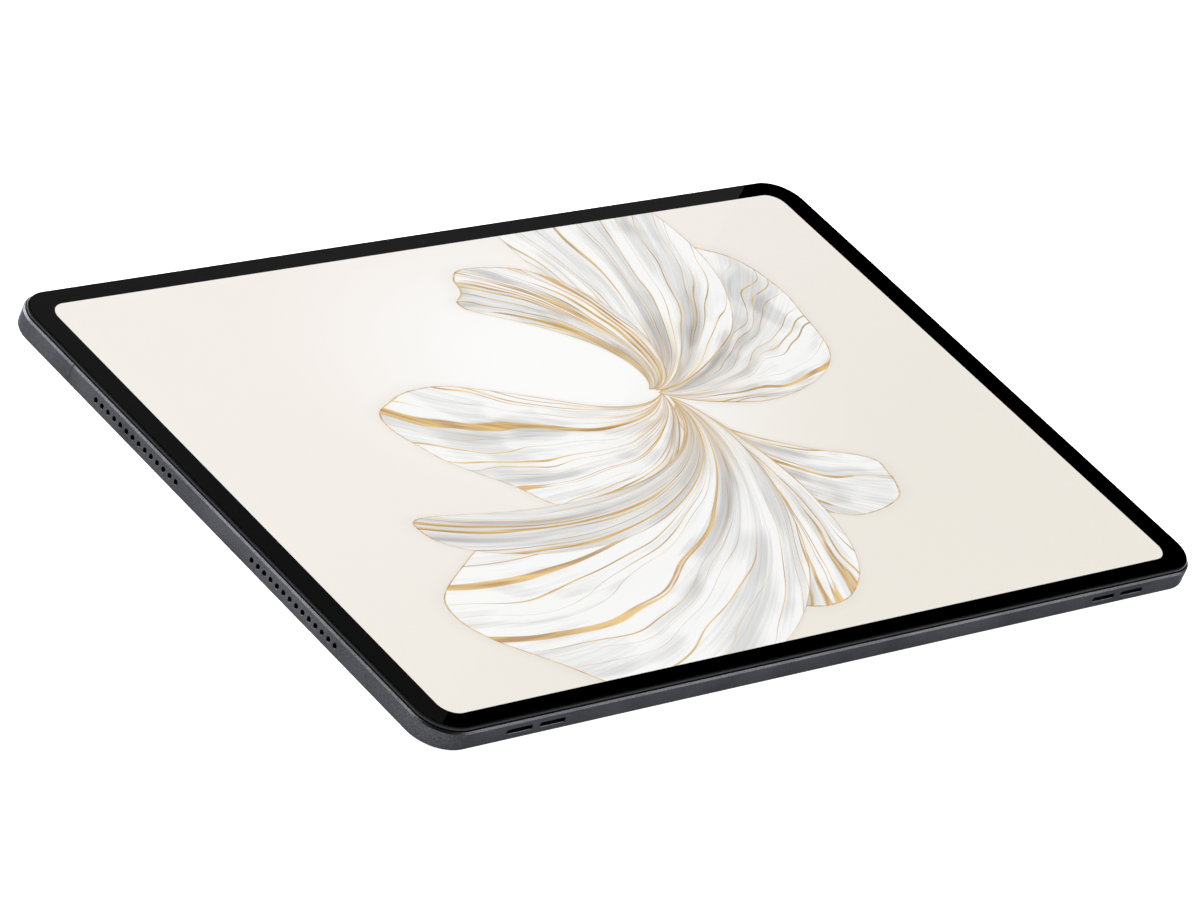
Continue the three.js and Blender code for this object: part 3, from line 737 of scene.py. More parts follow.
def circuit_board():
    """Solder resist with copper tracks beneath it and rows of pale pads."""
    def surface(sketch):
        place = sketch.place()
        x, y, z = sketch.axes(place)
        stepped = sketch.cells(sketch.vector(x, y, 0.0), 420.0, "DISTANCE_TO_EDGE")
        tracks = 1.0 - sketch.ease(stepped, 0.05, 0.10)
        resist = sketch.blend(tracks, (0.010, 0.050, 0.024), (0.030, 0.115, 0.055))
        pad_x = sketch.math("ABSOLUTE", sketch.math("WRAP", x, 0.0009, -0.0009))
        pad_y = sketch.math("ABSOLUTE", sketch.math("WRAP", y, 0.0013, -0.0013))
        pad = (1.0 - sketch.ease(pad_x, 0.0002, 0.00026)) * (
            1.0 - sketch.ease(pad_y, 0.0004, 0.00046)
        )
        fitted = pad * sketch.ease(sketch.noise(place, 130.0, 1.0), 0.55, 0.60)
        top = sketch.ease(z, 0.0031, 0.0032)
        base = sketch.blend(fitted, resist, (0.55, 0.50, 0.38))
        speckle = sketch.noise(place, 3000.0)
        chips = sketch.blend(speckle, (0.010, 0.010, 0.011), (0.02, 0.02, 0.022))
        return {
            "Base Color": sketch.blend(top, base, chips),
            "Metallic": fitted * (1.0 - top),
            "Roughness": 0.35 + sketch.noise(place, 2000.0) * 0.25,
            "Normal": sketch.bump(tracks + fitted * 2.0, 0.4, 0.00002),
        }

    return material("circuit_board", surface)


def ribbon_film():
    """Amber film with fine copper lines along it."""
    def surface(sketch):
        place = sketch.place()
        x, y, _ = sketch.axes(place)
        line = sketch.math("SINE", (x + y * 0.001) * 9000.0)
        copper = sketch.ease(line, 0.1, 0.4)
        cloud = sketch.noise(place, 200.0, 3.0)
        film = sketch.blend(cloud, (0.20, 0.085, 0.014), (0.30, 0.14, 0.03))
        return {
            "Base Color": sketch.blend(copper * 0.6, film, (0.46, 0.24, 0.10)),
            "Roughness": 0.28 + cloud * 0.12,
            "Normal": sketch.bump(copper, 0.3, 0.00001),
        }

    return material("ribbon_film", surface)


def pouch_foil():
    """Laminated foil with slight dents and a pale wrapping tape across it."""
    def surface(sketch):
        place = sketch.place()
        _, y, _ = sketch.axes(place)
        dents = sketch.noise(place, 90.0, 3.0)
        fine = sketch.noise(place, 3500.0, 1.0)
        foil = sketch.blend(dents, (0.022, 0.023, 0.026), (0.050, 0.051, 0.055))
        middle = sketch.math("ABSOLUTE", y + 0.015)
        tape = 1.0 - sketch.ease(middle, 0.0215, 0.0220)
        return {
            "Base Color": sketch.blend(tape * 0.5, foil, (0.20, 0.20, 0.21)),
            "Roughness": 0.42 + fine * 0.18,
            "Normal": sketch.bump(dents, 0.5, 0.0003),
        }

    return material("pouch_foil", surface)


def graphite_film():
    def surface(sketch):
        place = sketch.place()
        flakes = sketch.cells(place, 2500.0)
        cloud = sketch.noise(place, 150.0, 3.0)
        mix = sketch.ease(flakes * 0.6 + cloud * 0.4, 0.2, 0.6)
        return {
            "Base Color": sketch.blend(mix, (0.03, 0.031, 0.033), (0.085, 0.087, 0.092)),
            "Metallic": 0.5,
            "Roughness": 0.38 + cloud * 0.2,
            "Normal": sketch.bump(flakes, 0.25, 0.00002),
        }

    return material("graphite_film", surface)


def white_tray():
    def surface(sketch):
        place = sketch.place()
        x, _, _ = sketch.axes(place)
        prism = sketch.math("SINE", x * 14000.0)
        cloud = sketch.noise(place, 60.0, 2.0)
        return {
            "Base Color": sketch.blend(cloud, (0.66, 0.67, 0.69), (0.78, 0.79, 0.80)),
            "Roughness": 0.3 + cloud * 0.15,
            "Normal": sketch.bump(prism, 0.25, 0.00001),
        }

    return material("white_tray", surface)


def clear_film():
    def surface(sketch):
        place = sketch.place()
        haze = sketch.noise(place, 1500.0, 2.0)
        return {
            "Base Color": sketch.blend(haze, (0.96, 0.97, 0.97), (1.0, 1.0, 1.0)),
            "Roughness": haze * 0.06,
            "IOR": 1.0,
            "Transmission Weight": 1.0,
        }

    return material("clear_film", surface)


def coated_lens():
    cameras = settings("tablet_cameras")

    def surface(sketch):
        place = sketch.place()
        cloud = sketch.noise(place, 700.0, 1.0)
        # Painted reflection: the coating's coloured glint is painted into the base colour, bluer
        # face-on and more purple at a slant.
        facing = Signal(sketch, sketch.node("ShaderNodeLayerWeight", {"Blend": 0.4}).outputs[1])
        coating_reflection = sketch.blend(facing, tuple(cameras.coating), (0.05, 0.015, 0.07))
        return {
            "Base Color": sketch.blend(cloud * 0.2, coating_reflection, (0.01, 0.012, 0.02)),
            "Roughness": 0.04 + cloud * 0.02,
            "Specular IOR Level": 0.8,
            "Coat Weight": 1.0,
            "Coat Roughness": 0.02,
        }

    return material("coated_lens", surface)


def flash_diffuser():
    def surface(sketch):
        place = sketch.place()
        dots = sketch.cells(place, 1800.0)
        phosphor = sketch.ease(dots, 0.1, 0.7)
        return {
            "Base Color": sketch.blend(phosphor, (0.86, 0.66, 0.20), (0.90, 0.86, 0.72)),
            "Roughness": 0.18 + dots * 0.1,
            "Subsurface Weight": 0.2,
            "Subsurface Scale": 0.001,
            "Coat Weight": 0.6,
        }

    return material("flash_diffuser", surface)


def camera_cover_glass():
    def surface(sketch):
        cloud = sketch.noise(sketch.place(), 120.0, 2.0)
        return {
            "Base Color": sketch.blend(cloud, (0.80, 0.83, 0.86), (0.88, 0.90, 0.93)),
            "Roughness": cloud * 0.01,
            "IOR": 1.5,
            "Transmission Weight": 1.0,
        }

    return material("camera_cover_glass", surface)


FINISHES = {}


def finish(name):
    """The finish of that name, made once."""
    makers = {
        "anodised_metal": anodised_metal,
        "aerial_plastic": lambda: moulded_plastic(
            "aerial_plastic", (0.0060, 0.0060, 0.0066), (0.010, 0.010, 0.011), 0.5, 0.2
        ),
        "black_plastic": lambda: moulded_plastic(
            "black_plastic", (0.0022, 0.0022, 0.0024), (0.0048, 0.0048, 0.0052), 0.5
        ),
        "carrier_plastic": lambda: moulded_plastic(
            "carrier_plastic", (0.0010, 0.0010, 0.0011), (0.0022, 0.0022, 0.0024), 0.6, 0.06
        ),
        "contact_gold": lambda: stamped_metal(
            "contact_gold", (0.62, 0.40, 0.14), (0.78, 0.55, 0.24), 0.25
        ),
        "stamped_steel": lambda: stamped_metal(
            "stamped_steel", (0.40, 0.41, 0.42), (0.58, 0.59, 0.60)
        ),
        "port_shell": lambda: stamped_metal(
            "port_shell", (0.22, 0.22, 0.23), (0.36, 0.36, 0.37), 0.35
        ),
        "clear_glass": clear_glass,
        "bonded_face": bonded_face,
        "glass_rim": glass_rim,
        "screen_printed_ink": screen_printed_ink,
        "display_picture": display_picture,
        "woven_mesh": woven_mesh,
        "circuit_board": circuit_board,
        "ribbon_film": ribbon_film,
        "pouch_foil": pouch_foil,
        "graphite_film": graphite_film,
        "white_tray": white_tray,
        "clear_film": clear_film,
        "coated_lens": coated_lens,
        "flash_diffuser": flash_diffuser,
        "camera_cover_glass": camera_cover_glass,
    }
    if name not in FINISHES:
        FINISHES[name] = makers[name]()
    return FINISHES[name]


# ---------------------------------------------------------------- housing


def wall_section(housing):
    """The section as (inset, level) pairs, from the rear face over the wall to the floor."""
    top = HOUSING_HIGH.z
    rounding = quarter_round((0.0, housing.rear_edge), (housing.rear_edge, 0.0), 8)
    return [
        (housing.rear_edge + 0.1 * MM, 0.0),
        *reversed(rounding),
        (0.0, housing.rear_edge + 0.06 * MM),
        (0.0, top - housing.chamfer - 0.05 * MM),
        (0.0, top - housing.chamfer),
        (housing.chamfer, top),
        (housing.lip, top),
        (housing.lip, housing.ledge),
        (housing.side_wall, housing.ledge),
        (housing.side_wall, housing.rear_wall),
    ]


def opening_steps(housing, sink):
    """An opening through the wall with a countersunk mouth, as (growth, out) pairs."""
    return [(0.0, -housing.side_wall - MM), (0.0, -sink), (sink, 0.0), (sink, MM)]


def cut_sound_openings(form, housing):
    steps = opening_steps(housing, housing.countersink)
    hole = 2 * housing.hole_radius
    for side in ("left", "right"):
        for number in range(housing.hole_count):
            across = housing.hole_first + number * housing.hole_pitch
            for sign in (-1, 1):
                place = on_wall(side, sign * across, housing.opening_level)
                bar(form, place, hole + ROUND_BAR, hole, steps)
    steps = opening_steps(housing, housing.slot_countersink)
    for side in ("front", "back"):
        for across in (housing.slot_inner, housing.slot_outer):
            for sign in (-1, 1):
                place = on_wall(side, sign * across, housing.opening_level)
                bar(form, place, housing.slot_length, housing.slot_height, steps, 8)


def cut_key_and_port_openings(form, housing, keys):
    steps = opening_steps(housing, housing.countersink)
    tall = keys.height + 2 * keys.clearance
    power = on_wall("right", keys.power_middle, housing.opening_level)
    bar(form, power, keys.power_length + 2 * keys.clearance, tall, steps, 12)
    volume = on_wall("back", keys.volume_middle, housing.opening_level)
    bar(form, volume, keys.volume_length + 2 * keys.clearance, tall, steps, 12)
    low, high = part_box("usb_c_receptacle")
    gap = settings("tablet_cameras").trim_gap
    port = on_wall("right", 0.0, housing.port_level)
    bar(form, port, high.y - low.y + 2 * gap, high.z - low.z + 2 * gap, steps, 12)
    for node in ("microphone_left", "microphone_right"):
        place = on_wall("back", box_middle(node).x, housing.opening_level)
        bar(form, place, MICROPHONE_HOLE + ROUND_BAR, MICROPHONE_HOLE, steps)


AERIAL_SIDES = {
    "antenna_insert_left": "left",
    "antenna_insert_right": "right",
    "antenna_insert_top_left": "back",
    "antenna_insert_top_right": "back",
}


def box_middle(node):
    low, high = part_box(node)
    return (low + high) / 2


def aerial_places():
    """Node, side and middle along the wall of each aerial insert."""
    places = []
    for node, side in AERIAL_SIDES.items():
        middle = box_middle(node)
        places.append((node, side, middle.y if side in ("left", "right") else middle.x))
    return places


def build_aerial_insert(housing, node, side, across):
    section = wall_section(housing)[1:-1]
    section.append((housing.side_wall, 0.0))
    place = on_wall(side, across, 0.0)
    form = bmesh.new()
    rings = []
    for along in (-housing.insert_width / 2, housing.insert_width / 2):
        rings.append([place(along, level, -inset) for inset, level in section])
    skin(form, rings)
    return make_piece(node + "_strip", form)


class TABLET_OT_housing(Operator):
    """Build the milled housing with its openings, and the aerial inserts in its wall"""

    bl_idname = "tablet.housing"
    bl_label = "Housing"

    def execute(self, context):
        housing = settings("tablet_housing")
        keys = settings("tablet_keys")
        cameras = settings("tablet_cameras")
        form = bmesh.new()
        section = wall_section(housing)
        skin(form, [slab_ring(inset, level, housing.corner) for inset, level in section])
        shell = make_piece("housing_shell", form)

        posts = bmesh.new()
        holes = bmesh.new()
        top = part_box("mainboard")[0].z - 0.05 * MM
        for number in range(1, 7):
            x, y, _ = box_middle(f"board_screw_{number}")
            lathe(posts, [(SCREW_POST, 0.7 * MM), (SCREW_POST, top)], x, y, steps=32)
            lathe(holes, [(SCREW_HOLE, 1.1 * MM), (SCREW_HOLE, top + MM)], x, y, steps=24)
        carve(shell, posts, "UNION")

        cut_sound_openings(holes, housing)
        cut_key_and_port_openings(holes, housing, keys)
        sink = housing.countersink
        for middle, radius in (
            (box_middle("rear_camera_glass"), cameras.ring_radius),
            (box_middle("flash_lens"), cameras.flash_radius),
        ):
            bore = radius + cameras.trim_gap
            profile = [(bore + sink, -MM), (bore + sink, 0.0), (bore, sink), (bore, 2 * MM)]
            lathe(holes, profile, middle.x, middle.y)
        carve(shell, holes)
        gaps = bmesh.new()
        half = housing.gap_width / 2
        for _, side, across in aerial_places():
            place = on_wall(side, across, 0.0)
            corners = [
                place(along, up, out)
                for along in (-half, half)
                for up in (-MM, 8 * MM)
                for out in (-housing.side_wall, MM)
            ]
            low = [min(c[i] for c in corners) for i in range(3)]
            high = [max(c[i] for c in corners) for i in range(3)]
            block(gaps, low, high)
        carve(shell, gaps)
        paint(shell, finish("anodised_metal"))
        fit(shell, "tablet", "anodised_aluminium", "rear_housing")

        for node, side, across in aerial_places():
            strip = build_aerial_insert(housing, node, side, across)
            paint(strip, finish("aerial_plastic"))
            fit(strip, "tablet", "antenna_plastic", node)
        return {"FINISHED"}


# ---------------------------------------------------------------- front


class TABLET_OT_front(Operator):
    """Build the cover glass, its printed border, its carrier and the lit display"""

    bl_idname = "tablet.front"
    bl_label = "Glass and display"

    def execute(self, context):
        self.build_glass()
        self.build_border()
        self.build_carrier()
        self.build_display()
        return {"FINISHED"}

    def build_glass(self):
        front = settings("tablet_front")
        corner = settings("tablet_housing").corner
        inset = front.glass_inset
        edge = front.glass_edge
        top = GLASS_HIGH.z
        rounding = quarter_round((inset, top - edge), (inset + edge, top), 10)
        profile = [
            (inset, GLASS_LOW.z),
            *rounding,
            (inset + edge + 0.06 * MM, top),
        ]
        form = bmesh.new()
        skin(form, [slab_ring(i, level, corner) for i, level in profile])
        form.normal_update()
        for face in form.faces:
            if face.calc_center_median().z < GLASS_LOW.z + 0.01 * MM:
                face.material_index = 1
            elif abs(face.normal.z) < 0.985:
                face.material_index = 2
        glass = make_piece("front_glass", form)
        paint(glass, finish("clear_glass"), finish("bonded_face"), finish("glass_rim"))
        fit(glass, "tablet", "cover_glass", "cover_glass")

    def band(self, outer_inset, opening, low, high):
        """A flat frame between the tablet's inset outline and a rounded opening."""
        corner = settings("tablet_housing").corner
        inner = rounded_rectangle(*opening)
        rings = [slab_ring(outer_inset, low, corner), slab_ring(outer_inset, high, corner)]
        rings += [[Vector((p.x, p.y, level)) for p in inner] for level in (high, low)]
        form = bmesh.new()
        skin(form, rings, closed=True)
        return form

    def build_border(self):
        front = settings("tablet_front")
        opening = (front.screen_width, front.screen_depth, front.screen_corner)
        form = self.band(front.ink_inset, opening, INK_LOW.z, INK_HIGH.z)
        border = make_piece("printed_border", form)
        window = bmesh.new()
        profile = [(front.camera_window, INK_LOW.z - MM), (front.camera_window, INK_HIGH.z + MM)]
        lathe(window, profile, 0.0, front.camera_y, steps=48)
        carve(border, window)
        paint(border, finish("screen_printed_ink"))
        fit(border, "tablet", "border_ink", "border_ink")

    def build_carrier(self):
        front = settings("tablet_front")
        opening = (front.carrier_width, front.carrier_depth, 1.5 * MM)
        form = self.band(front.carrier_inset, opening, CARRIER_LOW.z, CARRIER_HIGH.z)
        carrier = make_piece("glass_carrier", form)
        notch = bmesh.new()
        half = 1.55 * MM
        low = (-half, front.camera_y - 3 * MM, CARRIER_LOW.z - MM)
        high = (half, front.camera_y + half, CARRIER_HIGH.z + MM)
        block(notch, low, high)
        carve(carrier, notch)
        paint(carrier, finish("carrier_plastic"))
        fit(carrier, "tablet", "black_plastic", "mid_frame")

    def build_display(self):
        size = PANEL_HIGH - PANEL_LOW
        edge = 0.05 * MM
        profile = [(0.0, PANEL_LOW.z), (0.0, PANEL_HIGH.z - edge), (edge, PANEL_HIGH.z)]
        form = bmesh.new()
        rings = []
        for inset, level in profile:
            points = rounded_rectangle(size.x - 2 * inset, size.y - 2 * inset, MM - inset, 6)
            rings.append([Vector((p.x, p.y, level)) for p in points])
        skin(form, rings, cap_material=1)
        display = make_piece("lit_display", form)
        paint(display, finish("black_plastic"), finish("display_picture"))
        fit(display, "tablet", "display_image", "display_panel")


# ---------------------------------------------------------------- keys


def build_key(name, side, middle, long, nubs):
    """A key's cap, flange and nubs in one turned-over skin."""
    housing = settings("tablet_housing")
    keys = settings("tablet_keys")
    inside = -housing.side_wall - keys.behind
    back = inside - keys.flange
    tall = keys.height
    flange_long = long + 1.5 * MM
    flange_tall = tall + 1.1 * MM
    proud = keys.proud
    place = on_wall(side, middle, housing.opening_level)
    rings = []
    outlines = [
        (flange_long, flange_tall, back),
        (flange_long, flange_tall, inside),
        (long, tall, inside),
    ]
    rounding = quarter_round((0.0, proud - keys.easing), (keys.easing, proud), 6)
    for shrink, out in rounding:
        outlines.append((long - 2 * shrink, tall - 2 * shrink, out))
    outlines.append((long - 2 * keys.easing - 0.08 * MM, tall - 2 * keys.easing - 0.08 * MM, proud))
    for wide, high, out in outlines:
        points = rounded_rectangle(wide, high, high / 2 - HAIR, 12)
        rings.append([place(p.x, p.y, out) for p in points])
    form = bmesh.new()
    skin(form, rings)
    steps = [(0.0, back - keys.nub), (0.0, back + 0.05 * MM)]
    for along in nubs:
        spot = on_wall(side, middle + along, housing.opening_level)
        bar(form, spot, NUB_SIZE + ROUND_BAR, NUB_SIZE, steps)
    return make_piece(name, form)


class TABLET_OT_keys(Operator):
    """Build the power key and the tilting volume key"""

    bl_idname = "tablet.keys"
    bl_label = "Keys"

    def execute(self, context):
        keys = settings("tablet_keys")
        power = build_key("power_key_cap", "right", keys.power_middle, keys.power_length, (0.0,))
        paint(power, finish("anodised_metal"))
        fit(power, "power_key", "anodised_aluminium", "power_button")
        reach = keys.volume_reach
        volume = build_key(
            "volume_key_cap", "back", keys.volume_middle, keys.volume_length, (-reach, 0.0, reach)
        )
        paint(volume, finish("anodised_metal"))
        fit(volume, "volume_key", "anodised_aluminium", "volume_rocker")
        return {"FINISHED"}


# ---------------------------------------------------------------- cameras and flash


class TABLET_OT_cameras(Operator):
    """Build the front camera, the rear camera with its ring and glass, and the flash"""

    bl_idname = "tablet.cameras"
    bl_label = "Cameras and flash"

    def execute(self, context):
        self.build_front_camera()
        self.build_rear_camera()
        self.build_flash()
        return {"FINISHED"}

    def build_front_camera(self):
        low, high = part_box("front_camera_module")
        y = settings("tablet_front").camera_y
        body = bmesh.new()
        block(body, (low.x, low.y, low.z), (high.x, high.y, 4.3 * MM), 0.3 * MM)
        top = high.z
        lathe(
            body,
            [
                (1.25 * MM, 4.2 * MM), (1.25 * MM, top), (0.95 * MM, top),
                (0.5 * MM, top - 0.35 * MM), (0.5 * MM, top - 0.5 * MM),
            ],
            0.0, y,
        )
        module = make_piece("front_camera_body", body)
        paint(module, finish("black_plastic"))
        fit(module, "tablet", "camera_lens", "front_camera_module")
        dome = bmesh.new()
        profile = [(0.5 * MM, top - 0.45 * MM)]
        profile += [
            (0.5 * MM * math.cos(t), top - 0.38 * MM + 0.2 * MM * math.sin(t))
            for t in (0.0, 0.3, 0.6, 0.9, 1.2, 1.45)
        ]
        lathe(dome, profile, 0.0, y, steps=32)
        lens = make_piece("front_camera_lens", dome)
        paint(lens, finish("coated_lens"))
        fit(lens, "tablet", "camera_lens")

    def build_rear_camera(self):
        cameras = settings("tablet_cameras")
        middle = box_middle("rear_camera_glass")
        x, y = middle.x, middle.y
        wall = settings("tablet_housing").rear_wall
        seat = cameras.seat_radius
        seat_level = 0.72 * MM
        outer = cameras.ring_radius
        inner_face = wall + 0.05 * MM
        flange_top = wall + 0.35 * MM
        ring = bmesh.new()
        lathe(
            ring,
            [
                (seat + 0.35 * MM, 0.0), (outer - 0.1 * MM, 0.0),
                (outer, 0.1 * MM), (outer, inner_face),
                (cameras.ring_flange, inner_face), (cameras.ring_flange, flange_top),
                (seat - 1.2 * MM, flange_top), (seat - 1.2 * MM, seat_level),
                (seat, seat_level), (seat, 0.3 * MM), (seat + 0.12 * MM, 0.12 * MM),
            ],
            x, y, closed=True, steps=96,
        )
        trim = make_piece("camera_trim_ring", ring)
        paint(trim, finish("anodised_metal"))
        fit(trim, "tablet", "anodised_aluminium", "rear_camera_ring")

        radius = cameras.glass_radius
        pane = bmesh.new()
        profile = [
            (radius - 0.1 * MM, 0.15 * MM), (radius, 0.25 * MM), (radius, 0.57 * MM),
            (radius - 0.1 * MM, 0.67 * MM),
        ]
        lathe(pane, profile, x, y, steps=96)
        glass = make_piece("camera_window", pane)
        paint(glass, finish("camera_cover_glass"))
        fit(glass, "tablet", "camera_glass", "rear_camera_glass")

        low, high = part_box("rear_camera_module")
        body = bmesh.new()
        half = cameras.module_half
        block(body, (x - half, y - half, 1.25 * MM), (x + half, y + half, 4.2 * MM), 0.4 * MM)
        lathe(
            body,
            [
                (5.0 * MM, 1.3 * MM), (5.0 * MM, low.z), (4.6 * MM, low.z),
                (4.4 * MM, low.z + 0.12 * MM), (3.6 * MM, low.z + 0.12 * MM),
                (3.4 * MM, low.z + 0.3 * MM),
                (2.6 * MM, low.z + 0.3 * MM), (2.4 * MM, low.z + 0.45 * MM),
                (1.9 * MM, low.z + 0.45 * MM),
            ],
            x, y, steps=96,
        )
        lathe(body, [(2.6 * MM, 4.1 * MM), (2.6 * MM, high.z)], x, y)
        module = make_piece("rear_camera_body", body)
        paint(module, finish("black_plastic"))
        fit(module, "tablet", "black_plastic", "rear_camera_module")
        dome = bmesh.new()
        profile = [(2.0 * MM, low.z + 0.44 * MM)]
        profile += [
            (2.0 * MM * math.cos(t), low.z + 0.42 * MM - 0.3 * MM * math.sin(t))
            for t in (0.0, 0.2, 0.4, 0.6, 0.8, 1.0, 1.2, 1.4, 1.52)
        ]
        lathe(dome, profile, x, y)
        lens = make_piece("rear_camera_lens", dome)
        paint(lens, finish("coated_lens"))
        fit(lens, "tablet", "camera_lens")

    def build_flash(self):
        cameras = settings("tablet_cameras")
        middle = box_middle("flash_lens")
        low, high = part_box("flash_lens")
        wall = settings("tablet_housing").rear_wall
        radius = cameras.flash_radius
        flange = (high.x - low.x) / 2
        inner_face = wall + 0.05 * MM
        profile = [(flange, high.z), (flange, inner_face), (radius, inner_face)]
        profile += [(radius, low.z + 0.08 * MM), (radius - 0.08 * MM, low.z)]
        for rib in (1.9, 1.5, 1.1, 0.7):
            profile += [(rib * MM, low.z), ((rib - 0.12) * MM, low.z + 0.12 * MM)]
        profile.append((0.35 * MM, low.z + 0.05 * MM))
        form = bmesh.new()
        lathe(form, profile, middle.x, middle.y)
        diffuser = make_piece("flash_window", form, 20)
        paint(diffuser, finish("flash_diffuser"))
        fit(diffuser, "tablet", "flash_diffuser", "flash_lens")


# ---------------------------------------------------------------- charging port


class TABLET_OT_port(Operator):
    """Build the charging port's drawn shell and its tongue with contacts"""

    bl_idname = "tablet.port"
    bl_label = "Charging port"

    def execute(self, context):
        housing = settings("tablet_housing")
        low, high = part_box("usb_c_receptacle")
        mouth = high.x - WIDTH / 2
        back = low.x - WIDTH / 2
        wide = high.y - low.y
        tall = high.z - low.z
        place = on_wall("right", 0.0, housing.port_level)
        lip = 0.06 * MM
        sheet = 0.3 * MM
        form = bmesh.new()
        steps = [
            (0.0, back), (0.0, mouth - lip), (-lip, mouth), (-sheet + lip, mouth),
            (-sheet, mouth - lip), (-sheet, back + 0.7 * MM),
        ]
        bar(form, place, wide, tall, steps, 12)
        shell = make_piece("port_shell", form)
        paint(shell, finish("port_shell"))
        fit(shell, "tablet", "stamped_steel", "usb_c_receptacle")

        tongue_form = bmesh.new()
        level = housing.port_level
        half_width = 3.3 * MM
        half_height = 0.3 * MM
        start = low.x + 0.5 * MM
        end = high.x - MM
        block(
            tongue_form,
            (start, -half_width, level - half_height), (end, half_width, level + half_height),
            0.08 * MM,
        )
        tongue = make_piece("port_tongue", tongue_form)
        paint(tongue, finish("black_plastic"))
        fit(tongue, "tablet", "black_plastic")

        pads = bmesh.new()
        pad_half = 0.13 * MM
        pad_rise = 0.03 * MM
        for number in range(12):
            y = (number - 5.5) * 0.5 * MM
            for face in (level - half_height, level + half_height):
                block(
                    pads, (end - 3.2 * MM, y - pad_half, face - pad_rise),
                    (end - 0.5 * MM, y + pad_half, face + pad_rise),
                )
        contacts = make_piece("port_contacts", pads)
        paint(contacts, finish("contact_gold"))
        fit(contacts, "tablet", "stamped_steel")
        return {"FINISHED"}


# ---------------------------------------------------------------- inner parts


INNER_FINISHES = {
    "anodised_aluminium": "anodised_metal",
    "antenna_plastic": "aerial_plastic",
    "black_plastic": "black_plastic",
    "cover_glass": "clear_glass",
    "border_ink": "screen_printed_ink",
    "optical_film": "clear_film",
    "display_image": "display_picture",
    "light_guide": "white_tray",
    "dust_mesh": "woven_mesh",
    "stamped_steel": "stamped_steel",
    "camera_lens": "coated_lens",
    "camera_glass": "camera_cover_glass",
    "flash_diffuser": "flash_diffuser",
    "circuit_board": "circuit_board",
    "flex_ribbon": "ribbon_film",
    "graphite": "graphite_film",
    "cell_pouch": "pouch_foil",
}


class TABLET_OT_inner_parts(Operator):
    """Give every part that keeps its own shape its real finish"""

    bl_idname = "tablet.inner_parts"
    bl_label = "Inner parts"

    def execute(self, context):
        slots = {part["node"]: part["material_slot"] for part in RECORD["subparts"]}
        for node, piece in frame["nodes"].items():
            if slots[node] not in INNER_FINISHES:
                raise RuntimeError(f"{node}: no finish is set for {slots[node]}")
            made = finish(INNER_FINISHES[slots[node]])
            if not piece.material_slots:
                piece.data.materials.append(made)
            for holder in piece.material_slots:
                holder.material = made
        return {"FINISHED"}


# ---------------------------------------------------------------- stage


def look_matrix(forward, roll):
    """Axes of something that looks along forward, tilted by roll."""
    right = forward.cross(Vector((0, 0, 1))).normalized()
    up = right.cross(forward)
    turned_right = math.cos(roll) * right + math.sin(roll) * up
    turned_up = math.cos(roll) * up - math.sin(roll) * right
    return Matrix((turned_right, turned_up, -forward)).transposed()


def soft_light(name, where, size, power):
    """A white lamp that faces the tablet and isn't seen itself."""
    lamp = bpy.data.lights.new(name, "AREA")
    lamp.shape = "RECTANGLE"
    lamp.size, lamp.size_y = size
    lamp.energy = power
    holder = bpy.data.objects.new(name, lamp)
    bpy.context.scene.collection.objects.link(holder)
    holder.location = where
    holder.rotation_mode = "QUATERNION"
    holder.rotation_quaternion = (-Vector(where)).to_track_quat("-Z", "Y")
    holder.visible_camera = False
    return holder


def keep_off(lamp, piece):
    """Keeps a lamp's light off one piece, so that it leaves no glare there."""
    shaded = bpy.data.collections.new(lamp.name + "_shaded")
    shaded.objects.link(piece)
    for member in shaded.collection_objects:
        member.light_linking.link_state = "EXCLUDE"
    lamp.light_linking.receiver_collection = shaded


def emitter(name, level):
    """A material that only glows: level gives its strength from the sketch and the x and y."""
    made = bpy.data.materials.new(name)
    made.use_nodes = True
    made.cycles.emission_sampling = "NONE"
    made.node_tree.nodes.clear()
    sketch = Sketch(made.node_tree)
    x, y, _ = sketch.axes(sketch.place())
    strength = level(sketch, x, y)
    glow = sketch.node("ShaderNodeEmission", {"Color": (1.0, 1.0, 1.0), "Strength": strength})
    out = made.node_tree.nodes.new("ShaderNodeOutputMaterial")
    made.node_tree.links.new(glow.outputs[0], out.inputs[0])
    return made


